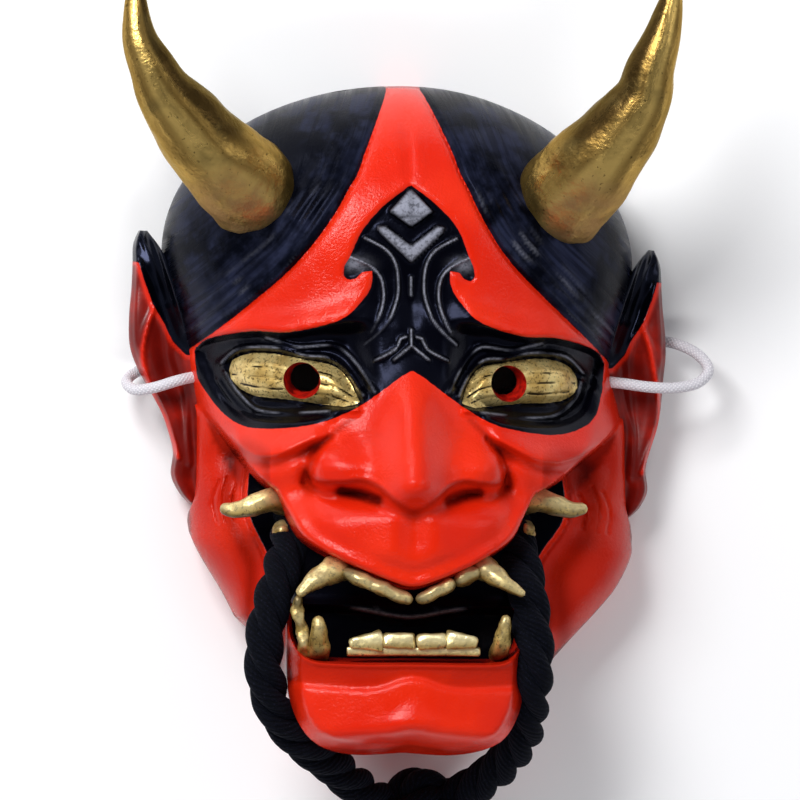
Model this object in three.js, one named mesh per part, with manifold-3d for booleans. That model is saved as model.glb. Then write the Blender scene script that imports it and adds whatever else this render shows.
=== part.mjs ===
// Hannya mask: a horned demon face cast in one piece, with two ropes at the mouth and an elastic cord.
// Millimetres. The mask lies face up on its back rim: +X is the viewer's right, +Y the crown, +Z the nose.
import * as THREE from 'three';
import { mergeVertices } from 'three/addons/utils/BufferGeometryUtils.js';
import Module from 'manifold-3d';

const wasm = await Module();
wasm.setup();

// Driving dimensions of the cast
const DOME_HALF_WIDTH = 80.8;
const DOME_LENGTH = 60;
const DOME_CENTRE_Y = 34;
const DOME_HEIGHT = 74;
const EDGE_HEIGHT = 12;
const WALL = 3.2;
const SIDE_DROP = 2.55;
const SIDE_REACH = 76;
const CHEEK_LEAN = 4.2;
const JAW_LEAN = 1.4;
const RIM_DRAFT = 0.985;
const CHIN_TUCK = 10;
const CORD_ARCH = 7;

// Face
const EYE_X = 35.2;
const EYE_Y = -7.5;
const PUPIL_RADIUS = 6.2;
const MOUTH_FLOOR = 56;
const CORNER_FLOOR = 46;
const STEP = 1.2;
const RIB_WIDTH = 2;
const MUZZLE_HEIGHT = 92.5;
const CHIN_HEIGHT = 85;
const LIP_HALF_WIDTH = 40;

// Heights and depths of the carving against the surface round it
const RELIEF = {
  noseRidge: 25,
  noseWing: 10,
  noseTip: 2.5,
  noseUnderside: 4.2,
  wingHollow: 3.5,
  browLip: 3,
  hairStep: 1.6,
  hairGroove: 1.3,
  socket: 8.5,
  eye: 4.2,
  rib: 2.3,
  cheek: 6.5,
  flange: 28,
  flangeHollow: 6,
  muzzleFall: 18,
  muzzleTuck: 4,
  lip: 1.4,
  philtrum: 2.6,
  tongue: 6,
  chinFall: 8,
  chinPad: 3,
  chinCrease: 1.6,
  chinUnderside: 30,
  chinEdge: 9,
};

// Ropes and elastic
const ROPE_RADIUS = 6.4;
const ROPE_CLEARANCE = 0.9;
const KNOT = { x: 8.6, y: -151, z: 13.4, rx: 14, ry: 12.8, rz: 13 };
const TAIL_LENGTH = 52;
const GAP = 0.3;
const STRAP_RADIUS = 1.9;
const STRAP_CLEARANCE = 0.7;
const CORD_STEP = 2;

// Sampling of the cast's surface
const OPEN_FIELD_PITCH = 10.2;
const FACE_PITCH = 5.6;
const LINE_PITCH = 3.9;
const OUTLINE_PITCH = 5;
const CAVITY_PITCH = 11;

const smooth = (from, to, t) => {
  const s = Math.min(1, Math.max(0, (t - from) / (to - from)));
  return s * s * (3 - 2 * s);
};
const mix = (a, b, t) => a + (b - a) * t;
const bell = (d, width) => Math.exp(-((d / width) ** 2));
const bump = (x, y, cx, cy, rx, ry) => bell(Math.hypot((x - cx) / rx, (y - cy) / ry), 1);
const points2 = (list) => list.map(([x, y]) => new THREE.Vector2(x, y));

// A smooth line through a few points, sampled at an even pitch
function line(list, pitch = 2) {
  const curve = new THREE.SplineCurve(points2(list));
  return curve.getSpacedPoints(Math.max(2, Math.round(curve.getLength() / pitch)));
}

// Half an outline on the +X side, closed by its mirror image
function mirrored(half) {
  const other = half.filter((p) => p.x > 0.01).map((p) => new THREE.Vector2(-p.x, p.y));
  return [...half, ...other.reverse()];
}

function segmentDistance(x, y, a, b) {
  const dx = b.x - a.x;
  const dy = b.y - a.y;
  const t = Math.min(1, Math.max(0, ((x - a.x) * dx + (y - a.y) * dy) / (dx * dx + dy * dy || 1)));
  return Math.hypot(x - a.x - t * dx, y - a.y - t * dy);
}

function lineDistance(path, x, y) {
  let best = Infinity;
  for (let i = 1; i < path.length; i++) {
    best = Math.min(best, segmentDistance(x, y, path[i - 1], path[i]));
  }
  return best;
}

// How far a point is inside a closed outline; negative outside
function depth(outline, x, y) {
  let best = Infinity;
  let inside = false;
  for (let i = 0, j = outline.length - 1; i < outline.length; j = i++) {
    const a = outline[i];
    const b = outline[j];
    best = Math.min(best, segmentDistance(x, y, a, b));
    if (a.y > y !== b.y > y && x < ((b.x - a.x) * (y - a.y)) / (b.y - a.y) + a.x) inside = !inside;
  }
  return inside ? best : -best;
}

// Outline of the cast: crown, temples, jaw flanges, the notch for the rope, chin
function domeArc(halfWidth, length, steps) {
  const arc = [];
  for (let i = 0; i < steps; i++) {
    const angle = (Math.PI / 2) * (1 - i / steps);
    arc.push(new THREE.Vector2(halfWidth * Math.cos(angle), DOME_CENTRE_Y + length * Math.sin(angle)));
  }
  return arc;
}

const SIDE = line([[80.8, 34], [79.4, 22], [76.4, 11], [73.6, 1], [73.3, -14], [73.3, -32], [73.8, -48],
  [76.2, -56], [75.3, -64], [70.3, -74], [63.8, -83], [55.6, -93]], OUTLINE_PITCH);
const NOTCH = points2([[50.6, -88.5], [47, -82.5], [43.6, -78.4], [41, -82.8]]);
const CHIN = line([[40.4, -87], [40.4, -99], [39.6, -115], [35.2, -126], [28, -132], [16.3, -134.6],
  [0, -133.8]], OUTLINE_PITCH);
const SILHOUETTE = mirrored([...domeArc(DOME_HALF_WIDTH, DOME_LENGTH, 24), ...SIDE, ...NOTCH, ...CHIN]);

// Inner edge of the flat back rim
const RIM_INSIDE = mirrored([...domeArc(75.6, 55, 14),
  ...line([[75.6, 34], [73.6, 18], [69, 4], [68.6, -14], [68.8, -46], [70.4, -56], [69, -63],
    [63, -71.5], [56.4, -79]], 8),
  ...points2([[51.8, -79.5], [48.2, -73.5], [41.5, -73], [37.2, -80]]),
  ...line([[36.8, -88], [36.4, -104], [32, -115], [20, -119.5], [0, -119.5]], 8)]);

// Lines of the carving, on the +X side
const CHEEKBONE = line([[73.5, -17], [63.3, -28.4], [51, -40.6], [44.2, -45.2]]);
const UPPER_FACE = mirrored([...points2([[0, 130], [110, 130], [110, -6]]), ...CHEEKBONE,
  ...points2([[38, -47], [0, -47]])]);
const MUZZLE_EDGE = line([[44.2, -45.2], [40.3, -53], [35, -61.5], [23.3, -68.7], [8, -74.5], [0, -76.8]]);
const MUZZLE = mirrored([...points2([[0, -38], [40, -38]]), ...MUZZLE_EDGE]);
const FLANGE_INNER = line([[54.2, -38], [54.5, -53], [46.5, -68], [45.4, -78], [50, -88], [53.7, -93]]);
const FLANGE = [...FLANGE_INNER, ...points2([[110, -110], [110, -6], [73, -10]])];
const LOWER_LIP = line([[39, -84], [38.2, -95], [33.4, -101.2], [22, -102.3], [0, -102.3]]);
const CHIN_FRONT = mirrored([...LOWER_LIP.slice().reverse(),
  ...points2([[46, -84], [46, -120], [38, -140], [0, -140]])]);
const HAIR_EDGE = line([[5.8, 92.4], [14, 72.7], [21.9, 53.5], [35.5, 34], [52.9, 17.4], [71.5, 1.7]]);
const BROW_EDGE = line([[70.2, 0.9], [66, 5.4], [52.2, 8.6], [39.4, 8.8], [23, 13.6], [13.7, 22.6],
  [12.3, 30.2]]);
const HOOK = points2([[15.4, 29.8], [20.9, 27.8]]);
const CREST_EDGE = line([[19.1, 35.5], [15.4, 43.9], [8.8, 52.1], [0, 59.5]]);
const SOCKET_FLOOR_EDGE = line([[3.9, -5.9], [18, -16], [32.3, -22.4], [51.7, -24.1], [61.5, -18.7],
  [67, -8]]);
const SOCKET = mirrored([new THREE.Vector2(0, -3.6), ...SOCKET_FLOOR_EDGE, ...BROW_EDGE, ...HOOK,
  ...CREST_EDGE]);
const EYE = [...line([[58.6, -5.8], [46.8, 0.1], [32.6, -1.3], [21.9, -4.4], [17.6, -14.7]]),
  ...line([[22.6, -15.9], [39.2, -13.9], [52.2, -12.8]])];
const UPPER_LID = line([[63, -0.5], [57, 3.4], [45, 4.2], [32, 0.9], [22, -0.6], [15.6, -7.5]]);
const LOWER_LID = line([[60.5, -7], [54.5, -15.2], [45, -18.2], [33, -18.4], [19, -16.6]]);
const NOSE_RIM = line([[30, -29], [33.4, -37], [24, -41.8], [14.5, -47.5], [0, -52.6]]);
const NOSE_BRIDGE = points2([[0, -4], [0, -50]]);
const NOSE_WING = line([[15, -42], [23, -36], [31, -37]]);
const NOSE = mirrored([...points2([[0, 2], [10, -2], [20, -20]]), ...NOSE_RIM]);

// Ribs of the crest between the brows
const RIBS = [
  line([[0, 58], [7.3, 50], [0, 44.9]]),
  line([[10.3, 43.6], [0, 35.6]]),
  line([[15.4, 38.4], [8.4, 34], [5.6, 24.5], [10, 12.6]]),
];

function skull(ax, y) {
  const above = Math.max(0, y - DOME_CENTRE_Y) / DOME_LENGTH;
  const width = y > DOME_CENTRE_Y ? DOME_HALF_WIDTH : mix(73.4, DOME_HALF_WIDTH, smooth(0, 34, y));
  const reach = Math.min(1, Math.hypot(ax / width, above));
  const crown = DOME_HEIGHT + 5 * smooth(34, -30, y);
  return EDGE_HEIGHT + (crown - EDGE_HEIGHT) * (1 - reach ** 2.4) ** 0.55;
}

function noseHeight(ax, y) {
  const ridge = RELIEF.noseRidge * smooth(2, -44, y) ** 0.8 * bell(ax, mix(7.5, 13, smooth(0, -42, y)));
  const wing = RELIEF.noseWing * bump(ax, y, 23.5, -37.5, 11, 9.5);
  const tip = RELIEF.noseTip * bump(ax, y, 0, -42, 9, 7);
  const rim = smooth(-RELIEF.noseUnderside, STEP, depth(NOSE, ax, y));
  return (ridge + wing + tip) * rim;
}

function upperFace(ax, y) {
  let z = skull(ax, y);
  const socket = depth(SOCKET, ax, y);
  const underBrow = smooth(14, 8, y) * smooth(10, 22, ax);
  const lowerSlope = smooth(0, 10, -lineDistance(SOCKET_FLOOR_EDGE, ax, y) + 10);
  z += RELIEF.browLip * bell(socket, 6) * smooth(-6, 8, y) * smooth(26, 14, y) * smooth(8, 20, ax);
  z -= RELIEF.hairStep * smooth(-STEP, STEP, socket) * smooth(10, 20, y);
  z -= RELIEF.socket * underBrow * smooth(-STEP, mix(2.5, 8, lowerSlope), socket);
  z += RELIEF.eye * smooth(-0.8, 4, depth(EYE, ax, y));
  for (const ridge of [UPPER_LID, LOWER_LID, ...RIBS]) {
    z += RELIEF.rib * bell(lineDistance(ridge, ax, y), RIB_WIDTH);
  }
  z -= RELIEF.hairGroove * bell(lineDistance(HAIR_EDGE, ax, y), 1.6);
  z += RELIEF.cheek * bump(ax, y, 43, -35, 17, 11);
  z -= RELIEF.wingHollow * bump(ax, y, 34.5, -42, 3.2, 8);
  return z + noseHeight(ax, y);
}

function flange(ax, y) {
  const width = y > -57 ? 76 : mix(76, 53, smooth(-57, -97, y));
  const reach = Math.min(1, ax / width);
  const swell = RELIEF.flange * Math.sqrt(1 - reach ** 5);
  return EDGE_HEIGHT + swell - RELIEF.flangeHollow * bump(ax, y, 60, -34, 8, 9);
}

function muzzle(ax, y) {
  const fall = RELIEF.muzzleFall * (ax / LIP_HALF_WIDTH) ** 2;
  const tuck = RELIEF.muzzleTuck * smooth(-64, -78, y);
  const lip = RELIEF.lip * bell(lineDistance(MUZZLE_EDGE, ax, y) - 1.8, 1.6);
  const philtrum = RELIEF.philtrum * bell(ax, 3.6) * smooth(-70, -62, y);
  return MUZZLE_HEIGHT - fall - tuck + lip - philtrum;
}

function chin(ax, y) {
  const fall = RELIEF.chinFall * (ax / LIP_HALF_WIDTH) ** 2;
  const pad = RELIEF.chinPad * bump(ax, y, 0, -119, 15, 7);
  const crease = RELIEF.chinCrease * bell(y + 110 - 2.5 * bell(ax, 6), 2.2);
  const underside = RELIEF.chinUnderside * smooth(-123, -136, y);
  const edge = RELIEF.chinEdge * (1 - smooth(0, 5, depth(SILHOUETTE, ax, y)));
  return CHIN_HEIGHT - fall + pad - crease - underside - edge;
}

// Height of the cast's front above the surface it lies on
function front(x, y) {
  const ax = Math.abs(x);
  const tongue = RELIEF.tongue * smooth(-90, -86, y);
  let z = mix(MOUTH_FLOOR + tongue, CORNER_FLOOR, smooth(36, 43, ax));
  z = mix(z, flange(ax, y), smooth(-STEP, STEP, depth(FLANGE, ax, y)));
  const upper = upperFace(ax, y);
  z = mix(z, upper, smooth(-STEP, STEP, depth(UPPER_FACE, ax, y)));
  const lip = mix(upper, Math.max(muzzle(ax, y), CORNER_FLOOR), smooth(-41, -55, y));
  z = mix(z, lip, smooth(-STEP, STEP, depth(MUZZLE, ax, y)));
  return mix(z, chin(ax, y), smooth(-STEP, STEP, depth(CHIN_FRONT, ax, y)));
}

// The casting isn't quite true: its right side sits a little lower than its left
function settle(x, y) {
  return y - SIDE_DROP * Math.sign(x) * (x / SIDE_REACH) ** 2;
}

// Below the eyes both sides of it stand a little to the right
function lean(x, y) {
  const amount = CHEEK_LEAN * smooth(2, -24, y) + JAW_LEAN * smooth(-50, -80, y);
  return x + amount * smooth(44, 70, Math.abs(x));
}

function circle(a, b, c) {
  const d = 2 * (a.x * (b.y - c.y) + b.x * (c.y - a.y) + c.x * (a.y - b.y));
  const aa = a.lengthSq();
  const bb = b.lengthSq();
  const cc = c.lengthSq();
  const x = (aa * (b.y - c.y) + bb * (c.y - a.y) + cc * (a.y - b.y)) / d;
  const y = (aa * (c.x - b.x) + bb * (a.x - c.x) + cc * (b.x - a.x)) / d;
  return { x, y, r2: (a.x - x) ** 2 + (a.y - y) ** 2 };
}

// Triangles over scattered points, none with another point inside its circle
function triangulate(given) {
  const n = given.length;
  const points = [...given, ...points2([[-4000, -3000], [4000, -3000], [0, 5000]])];
  let triangles = [{ v: [n, n + 1, n + 2], c: circle(points[n], points[n + 1], points[n + 2]) }];
  for (let i = 0; i < n; i++) {
    const p = points[i];
    const edges = new Map();
    const kept = [];
    for (const t of triangles) {
      if ((p.x - t.c.x) ** 2 + (p.y - t.c.y) ** 2 >= t.c.r2) {
        kept.push(t);
        continue;
      }
      for (let k = 0; k < 3; k++) {
        const a = t.v[k];
        const b = t.v[(k + 1) % 3];
        const twin = `${b},${a}`;
        if (edges.has(twin)) edges.delete(twin);
        else edges.set(`${a},${b}`, [a, b]);
      }
    }
    for (const [a, b] of edges.values()) {
      kept.push({ v: [a, b, i], c: circle(points[a], points[b], p) });
    }
    triangles = kept;
  }
  return triangles.map((t) => t.v).filter((v) => v.every((i) => i < n));
}

// Points inside an outline: its own points first, then both sides of each line, then rows at each pitch
function scatter(outline, lines, pitches, pitchAt, margin) {
  const points = outline.map((p) => p.clone());
  const clear = (p, gap) => points.every((q) => p.distanceTo(q) > gap);
  const add = (p, gap) => {
    if (depth(outline, p.x, p.y) > margin && clear(p, gap)) points.push(p);
  };
  for (const { path, offsets, pitch = LINE_PITCH } of lines) {
    const total = path.reduce((sum, p, i) => sum + (i ? p.distanceTo(path[i - 1]) : 0), 0);
    const steps = Math.max(1, Math.round(total / pitch));
    for (let i = 0; i <= steps; i++) {
      const k = Math.min(path.length - 2, Math.floor((i / steps) * (path.length - 1)));
      const at = path[k].clone().lerp(path[k + 1], (i / steps) * (path.length - 1) - k);
      const along = path[k + 1].clone().sub(path[k]).normalize();
      for (const offset of offsets) {
        const p = new THREE.Vector2(at.x - along.y * offset, at.y + along.x * offset);
        add(p, 1);
        if (Math.abs(p.x) > 0.6) add(new THREE.Vector2(-p.x, p.y), 1);
      }
    }
  }
  for (const pitch of pitches) {
    for (let row = 0, y = -140; y < 100; row++, y += pitch * 0.866) {
      for (let x = -90 + (row % 2) * pitch * 0.5; x < 90; x += pitch) {
        if (pitchAt(x, y) !== pitch) continue;
        add(new THREE.Vector2(x + 0.07 * Math.sin(row * 7), y + 0.05 * Math.cos(x)), pitch * 0.52);
      }
    }
  }
  return points;
}

function solidFrom(positions, triangles) {
  const vertProperties = new Float32Array(positions);
  const triVerts = new Uint32Array(triangles);
  return new wasm.Manifold(new wasm.Mesh({ numProp: 3, vertProperties, triVerts }));
}

function solidOf(geometry) {
  const plain = geometry.clone();
  plain.deleteAttribute('normal');
  plain.deleteAttribute('uv');
  const merged = mergeVertices(plain, 1e-4);
  return solidFrom(merged.attributes.position.array, merged.index.array);
}

function geometryOf(solid) {
  const { vertProperties, triVerts } = solid.getMesh();
  const geometry = new THREE.BufferGeometry();
  geometry.setAttribute('position', new THREE.BufferAttribute(vertProperties, 3));
  geometry.setIndex(new THREE.BufferAttribute(triVerts, 1));
  geometry.computeVertexNormals();
  return geometry;
}

// A closed block: a surface over an outline, a wall down to the foot, and the foot itself
function blockUnder(points, ringLength, heightAt, footPoint) {
  const outline = points.slice(0, ringLength);
  const positions = points.flatMap((p) => [lean(p.x, p.y), settle(p.x, p.y), heightAt(p.x, p.y)]);
  const triangles = [];
  const face = (corners, upward, base) => {
    const [p, q, r] = corners.map((i) => points[i]);
    const turnsLeft = q.clone().sub(p).cross(r.clone().sub(p)) > 0;
    const [a, b, c] = turnsLeft === upward ? corners : [corners[0], corners[2], corners[1]];
    triangles.push(a + base, b + base, c + base);
  };
  for (const corners of triangulate(points)) {
    const middle = corners.reduce((sum, i) => sum.add(points[i]), new THREE.Vector2()).divideScalar(3);
    if (depth(outline, middle.x, middle.y) > 0) face(corners, true, 0);
  }
  const foot = points.length;
  for (const p of outline) positions.push(...footPoint(p));
  const clockwise = THREE.ShapeUtils.isClockWise(outline);
  for (let i = 0; i < ringLength; i++) {
    const [a, b] = clockwise ? [i, (i + 1) % ringLength] : [(i + 1) % ringLength, i];
    triangles.push(a, b, a + foot, b, b + foot, a + foot);
  }
  for (const corners of THREE.ShapeUtils.triangulateShape(outline, [])) face(corners, false, foot);
  return solidFrom(positions, triangles);
}

// The rim arches a little over the elastic cord at each temple
const rimLift = (x, y) => CORD_ARCH * bump(0, y, 0, -3, 1, 13) * smooth(50, 66, Math.abs(x));

function rimPoint(p) {
  const x = p.x * RIM_DRAFT;
  const y = p.y * RIM_DRAFT + CHIN_TUCK * smooth(-104, -134, p.y);
  return [lean(x, y), settle(x, y), rimLift(x, y)];
}

function castBody() {
  const step = [-STEP, STEP];
  const lines = [
    { path: CHEEKBONE, offsets: step },
    { path: MUZZLE_EDGE, offsets: [-STEP, STEP, 4] },
    { path: FLANGE_INNER, offsets: step },
    { path: LOWER_LIP, offsets: step },
    { path: NOSE_RIM, offsets: [-RELIEF.noseUnderside, STEP] },
    { path: NOSE_BRIDGE, offsets: [0, 5, 10] },
    { path: NOSE_WING, offsets: [0, 4] },
    { path: BROW_EDGE, offsets: [-STEP, 2.4] },
    { path: CREST_EDGE, offsets: step },
    { path: SOCKET_FLOOR_EDGE, offsets: [0, 4] },
    { path: EYE, offsets: [0] },
    { path: UPPER_LID, offsets: [-2.2, 0, 2.2] },
    { path: LOWER_LID, offsets: [-2.2, 0, 2.2] },
    { path: HAIR_EDGE, offsets: [-2, 0, 2] },
    ...RIBS.map((path) => ({ path, offsets: [-2.5, 0, 2.5] })),
    { path: domeArc(DOME_HALF_WIDTH - 2.6, DOME_LENGTH - 2.6, 24), offsets: [0], pitch: 7 },
    { path: domeArc(DOME_HALF_WIDTH - 8.5, DOME_LENGTH - 8.5, 24), offsets: [0], pitch: 9 },
  ];
  const pitchAt = (x, y) => (Math.abs(x) < 58 && y > -80 && y < 20 ? FACE_PITCH : OPEN_FIELD_PITCH);
  const points = scatter(SILHOUETTE, lines, [FACE_PITCH, OPEN_FIELD_PITCH], pitchAt, 1.6);
  return blockUnder(points, SILHOUETTE.length, front, rimPoint);
}

// The hollow back follows the front at no less than the wall's thickness
function hollow() {
  const inner = (x, y) => {
    let lowest = front(x, y);
    for (let i = 0; i < 12; i++) {
      const angle = (i * Math.PI) / 6;
      for (const reach of [3.5, 7.5]) {
        lowest = Math.min(lowest, front(x + reach * Math.cos(angle), y + reach * Math.sin(angle)));
      }
    }
    return Math.max(lowest - WALL, 5);
  };
  const points = scatter(RIM_INSIDE, [], [CAVITY_PITCH], () => CAVITY_PITCH, 3);
  return blockUnder(points, RIM_INSIDE.length, inner, (p) => [lean(p.x, p.y), settle(p.x, p.y), -5]);
}

// A round bar of changing thickness along a curve, with closed ends
function taperedBar(centres, radii, sides, steps) {
  const curve = new THREE.CatmullRomCurve3(centres.map((c) => new THREE.Vector3(...c)));
  const frames = curve.computeFrenetFrames(steps, false);
  const positions = [];
  const triangles = [];
  for (let i = 0; i <= steps; i++) {
    const t = i / steps;
    const k = Math.min(radii.length - 2, Math.floor(t * (radii.length - 1)));
    const radius = mix(radii[k], radii[k + 1], t * (radii.length - 1) - k);
    const centre = curve.getPoint(t);
    for (let j = 0; j < sides; j++) {
      const angle = (2 * Math.PI * j) / sides;
      const across = frames.normals[i].clone().multiplyScalar(radius * Math.cos(angle));
      const out = frames.binormals[i].clone().multiplyScalar(radius * Math.sin(angle));
      positions.push(...centre.clone().add(across).add(out).toArray());
    }
  }
  for (let i = 0; i < steps; i++) {
    for (let j = 0; j < sides; j++) {
      const a = i * sides + j;
      const b = i * sides + ((j + 1) % sides);
      triangles.push(a, b, a + sides, b, b + sides, a + sides);
    }
  }
  for (let j = 1; j < sides - 1; j++) {
    triangles.push(0, j + 1, j);
    triangles.push(steps * sides, steps * sides + j, steps * sides + j + 1);
  }
  return solidFrom(positions, triangles);
}

const HORN_RADII = [16, 15.4, 13.8, 12.2, 10.4, 8.7, 7, 5.4, 3.9, 1.4];

function horns() {
  const left = [[-46, 50, 38], [-55, 60, 58], [-65, 69.6, 68], [-73.4, 80.6, 75], [-79.9, 90, 79],
    [-85, 99, 82], [-89.3, 108, 83], [-91.4, 116, 83], [-92.4, 123, 82.5], [-92.6, 129.4, 82]];
  const right = [[49, 47, 38], [57.5, 58, 58], [65.6, 68, 68], [73.2, 79, 75], [78.5, 89.5, 79],
    [82.4, 98.5, 82], [85.6, 107.5, 83], [88, 116, 83], [89.6, 123, 82.5], [90.4, 129.4, 82]];
  return [taperedBar(left, HORN_RADII, 11, 12), taperedBar(right, HORN_RADII, 11, 12)];
}

// Rows of an ear from its pointed tip to the lobe: y, root x, rim x, height at the rim
const EAR_ROWS = [
  [41, 86, 88.4, 15], [36, 82, 90.3, 17], [29, 78, 90.6, 19], [21, 74, 91, 20], [12, 70, 91.8, 21],
  [3, 68, 91.8, 21], [-6, 68, 90, 20], [-15, 68, 87, 19], [-25, 68, 83.4, 19], [-34, 68, 81, 19],
  [-42, 68, 81.6, 18], [-48, 68, 78.8, 17], [-51.5, 68, 75.4, 16],
];

function ear(side) {
  const across = [0, 0.35, 0.68, 0.88, 1];
  const positions = [];
  const columns = across.length;
  for (const back of [false, true]) {
    EAR_ROWS.forEach(([y, root, rim, height], row) => {
      const fold = row < 4 ? 1 : 5.5;
      across.forEach((s) => {
        const x = side * mix(root, rim, s);
        const bowl = height + 7 * (1 - s) - fold * bell(s - 0.42, 0.24) - 3.5 * smooth(0.88, 1, s);
        positions.push(lean(x, y), settle(x, y), back ? Math.max(bowl - 6.5, 6.5 + 2 * (1 - s)) : bowl);
      });
    });
  }
  const rows = EAR_ROWS.length;
  const at = (row, column, back) => (back ? rows * columns : 0) + row * columns + column;
  const triangles = [];
  const quad = (a, b, c, d) => triangles.push(...(side > 0 ? [a, b, c, a, c, d] : [a, c, b, a, d, c]));
  for (let row = 0; row < rows - 1; row++) {
    for (let column = 0; column < columns - 1; column++) {
      quad(at(row, column), at(row + 1, column), at(row + 1, column + 1), at(row, column + 1));
      quad(at(row, column, 1), at(row, column + 1, 1), at(row + 1, column + 1, 1), at(row + 1, column, 1));
    }
    quad(at(row, 0), at(row, 0, 1), at(row + 1, 0, 1), at(row + 1, 0));
    const last = columns - 1;
    quad(at(row, last), at(row + 1, last), at(row + 1, last, 1), at(row, last, 1));
  }
  for (let column = 0; column < columns - 1; column++) {
    const end = rows - 1;
    quad(at(0, column), at(0, column + 1), at(0, column + 1, 1), at(0, column, 1));
    quad(at(end, column), at(end, column, 1), at(end, column + 1, 1), at(end, column + 1));
  }
  return solidFrom(positions, triangles);
}

// Teeth
function block(x, y, z, width, height, depthBack, turn = 0) {
  const box = new THREE.BoxGeometry(width, height, depthBack);
  box.rotateZ(turn);
  box.translate(x, settle(x, y), z);
  return solidOf(box);
}

function teeth() {
  const solids = [];
  const gum = [-14.3, -3.45, 7.95, 18.45];
  for (const x of gum) solids.push(block(x, -97, 67.5, 9.6, 6.4, 27));
  for (const side of [-1, 1]) {
    solids.push(block(side * 7.8, -78.2, 71.5, 11.4, 5, 29, side * 0.26));
    solids.push(block(side * 18.4, -74.4, 70.5, 7.6, 4.8, 27, side * 0.36));
    solids.push(taperedBar([[side * 23, -70, 66], [side * 28, -72.4, 77], [side * 34, -76.4, 82],
      [side * 39.2, -80.4, 84]], [5.4, 5.2, 3.6, 1.2], 8, 5));
    solids.push(taperedBar([[side * 31.6, -100.5, 62], [side * 31.8, -97, 76], [side * 33, -88, 80],
      [side * 33.6, -84.5, 80]], [3.6, 3.8, 2.6, 1.5], 8, 5));
    solids.push(taperedBar([[side * 39, -49, 52], [side * 45.5, -47.6, 58], [side * 52, -49.6, 59],
      [side * 57.2, -51, 57], [side * 62.4, -50.4, 55]], [4.6, 4.1, 3.6, 2.7, 1.7], 8, 6));
  }
  return solids;
}

// Ropes: from inside the mouth's corners, beside the chin, down to the knot
const ROPE_LEFT = [[-34, -41, 24], [-37, -51, 40], [-39.4, -63, 57], [-44, -77.5, 67.5], [-47.5, -90, 71],
  [-48.4, -102, 70.5], [-46.2, -113.6, 66.5], [-41.8, -122.4, 61], [-33.5, -130.8, 52], [-24, -137.8, 39],
  [-14, -144.8, 25.5], [-4, -149.8, 16], [5, -151, 13.4]];
const ROPE_RIGHT = [[33, -41, 24], [36, -51, 40], [38.4, -63, 58], [41, -76, 68], [42.6, -89, 72],
  [43.8, -102, 72], [42.8, -113.6, 65.5], [41.4, -126, 53], [36.2, -136, 39.5], [27.5, -144.4, 26.5],
  [19, -149.2, 17], [11, -151, 13.4]];
const TAIL_LEFT = [[6, -152, 12.4], [0.6, -163, 9.4], [-3.6, -176, 7.2], [-7, -192, 6.8],
  [-9, -163.6 - TAIL_LENGTH, 6.8]];
const TAIL_RIGHT = [[11, -152, 12.4], [17, -163, 9.4], [21, -176, 7.2], [25, -192, 6.8],
  [27, -163.6 - TAIL_LENGTH, 6.8]];
const STRAP = [
  [-63, -5, 22], [-69.5, -5.6, 23.5], [-76, -7, 26.5], [-84, -9.4, 25], [-90.4, -10, 19.5],
  [-92.6, -7, 12], [-88, -3.6, 5.6], [-80, -3, 2.9], [-68, -3.4, 2.5], [-50, -8, 2.3], [-25, -13, 2.3],
  [0, -14, 2.3], [25, -13, 2.3], [50, -8, 2.3], [68, -3.6, 2.5], [80, 2, 3.2], [90, 6.4, 6],
  [98, 5, 10], [104.4, 1, 14], [106.6, -3.6, 18], [103, -7.6, 21.5], [95, -9.4, 24.5], [86, -9.2, 26.5],
  [77, -8, 26.5], [69.5, -7.2, 23.5], [63, -7, 22],
];

// A bar along a cord's route, with a step every few diameters of that cord
function tube(path, cordRadius, clearance, sides) {
  const curve = new THREE.CatmullRomCurve3(path.map((p) => new THREE.Vector3(...p)));
  const steps = Math.round(curve.getLength() / (CORD_STEP * 2 * cordRadius));
  const radius = cordRadius + clearance;
  const section = new THREE.Shape();
  for (let i = 0; i < sides; i++) {
    const angle = (2 * Math.PI * i) / sides;
    const move = i ? 'lineTo' : 'moveTo';
    section[move](radius * Math.cos(angle), radius * Math.sin(angle));
  }
  return new THREE.ExtrudeGeometry(section, { steps, extrudePath: curve, bevelEnabled: false });
}

function cylinder(radius, height, x, y, z) {
  const shape = new THREE.CylinderGeometry(radius, radius, height, 16);
  shape.rotateX(Math.PI / 2);
  shape.translate(x, settle(x, y), z);
  return solidOf(shape);
}

function mask() {
  let solid = castBody();
  for (const part of [...horns(), ear(-1), ear(1)]) solid = solid.add(part);
  solid = solid.subtract(hollow());
  for (const part of teeth()) solid = solid.add(part);
  for (const side of [-1, 1]) {
    solid = solid.subtract(cylinder(PUPIL_RADIUS, 60, side * EYE_X, EYE_Y, 70));
    const path = side < 0 ? ROPE_LEFT : ROPE_RIGHT;
    solid = solid.subtract(solidOf(tube(path, ROPE_RADIUS, ROPE_CLEARANCE, 10)));
  }
  solid = solid.subtract(solidOf(tube(STRAP, STRAP_RADIUS, STRAP_CLEARANCE, 8)));
  const pieces = solid.decompose().sort((a, b) => b.volume() - a.volume());
  return geometryOf(pieces[0]);
}

function knot() {
  const shape = new THREE.SphereGeometry(1, 14, 9);
  shape.scale(KNOT.rx, KNOT.ry, KNOT.rz);
  shape.translate(KNOT.x, KNOT.y, KNOT.z);
  return solidOf(shape);
}

// A rope stops a hair short of the knot it runs into
function ropeTo(path) {
  const room = new THREE.SphereGeometry(1, 14, 9);
  room.scale(KNOT.rx + GAP, KNOT.ry + GAP, KNOT.rz + GAP);
  room.translate(KNOT.x, KNOT.y, KNOT.z);
  const cut = solidOf(tube(path, ROPE_RADIUS, 0, 10)).subtract(solidOf(room));
  const pieces = cut.decompose().sort((a, b) => b.volume() - a.volume());
  return geometryOf(pieces[0]);
}

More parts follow.
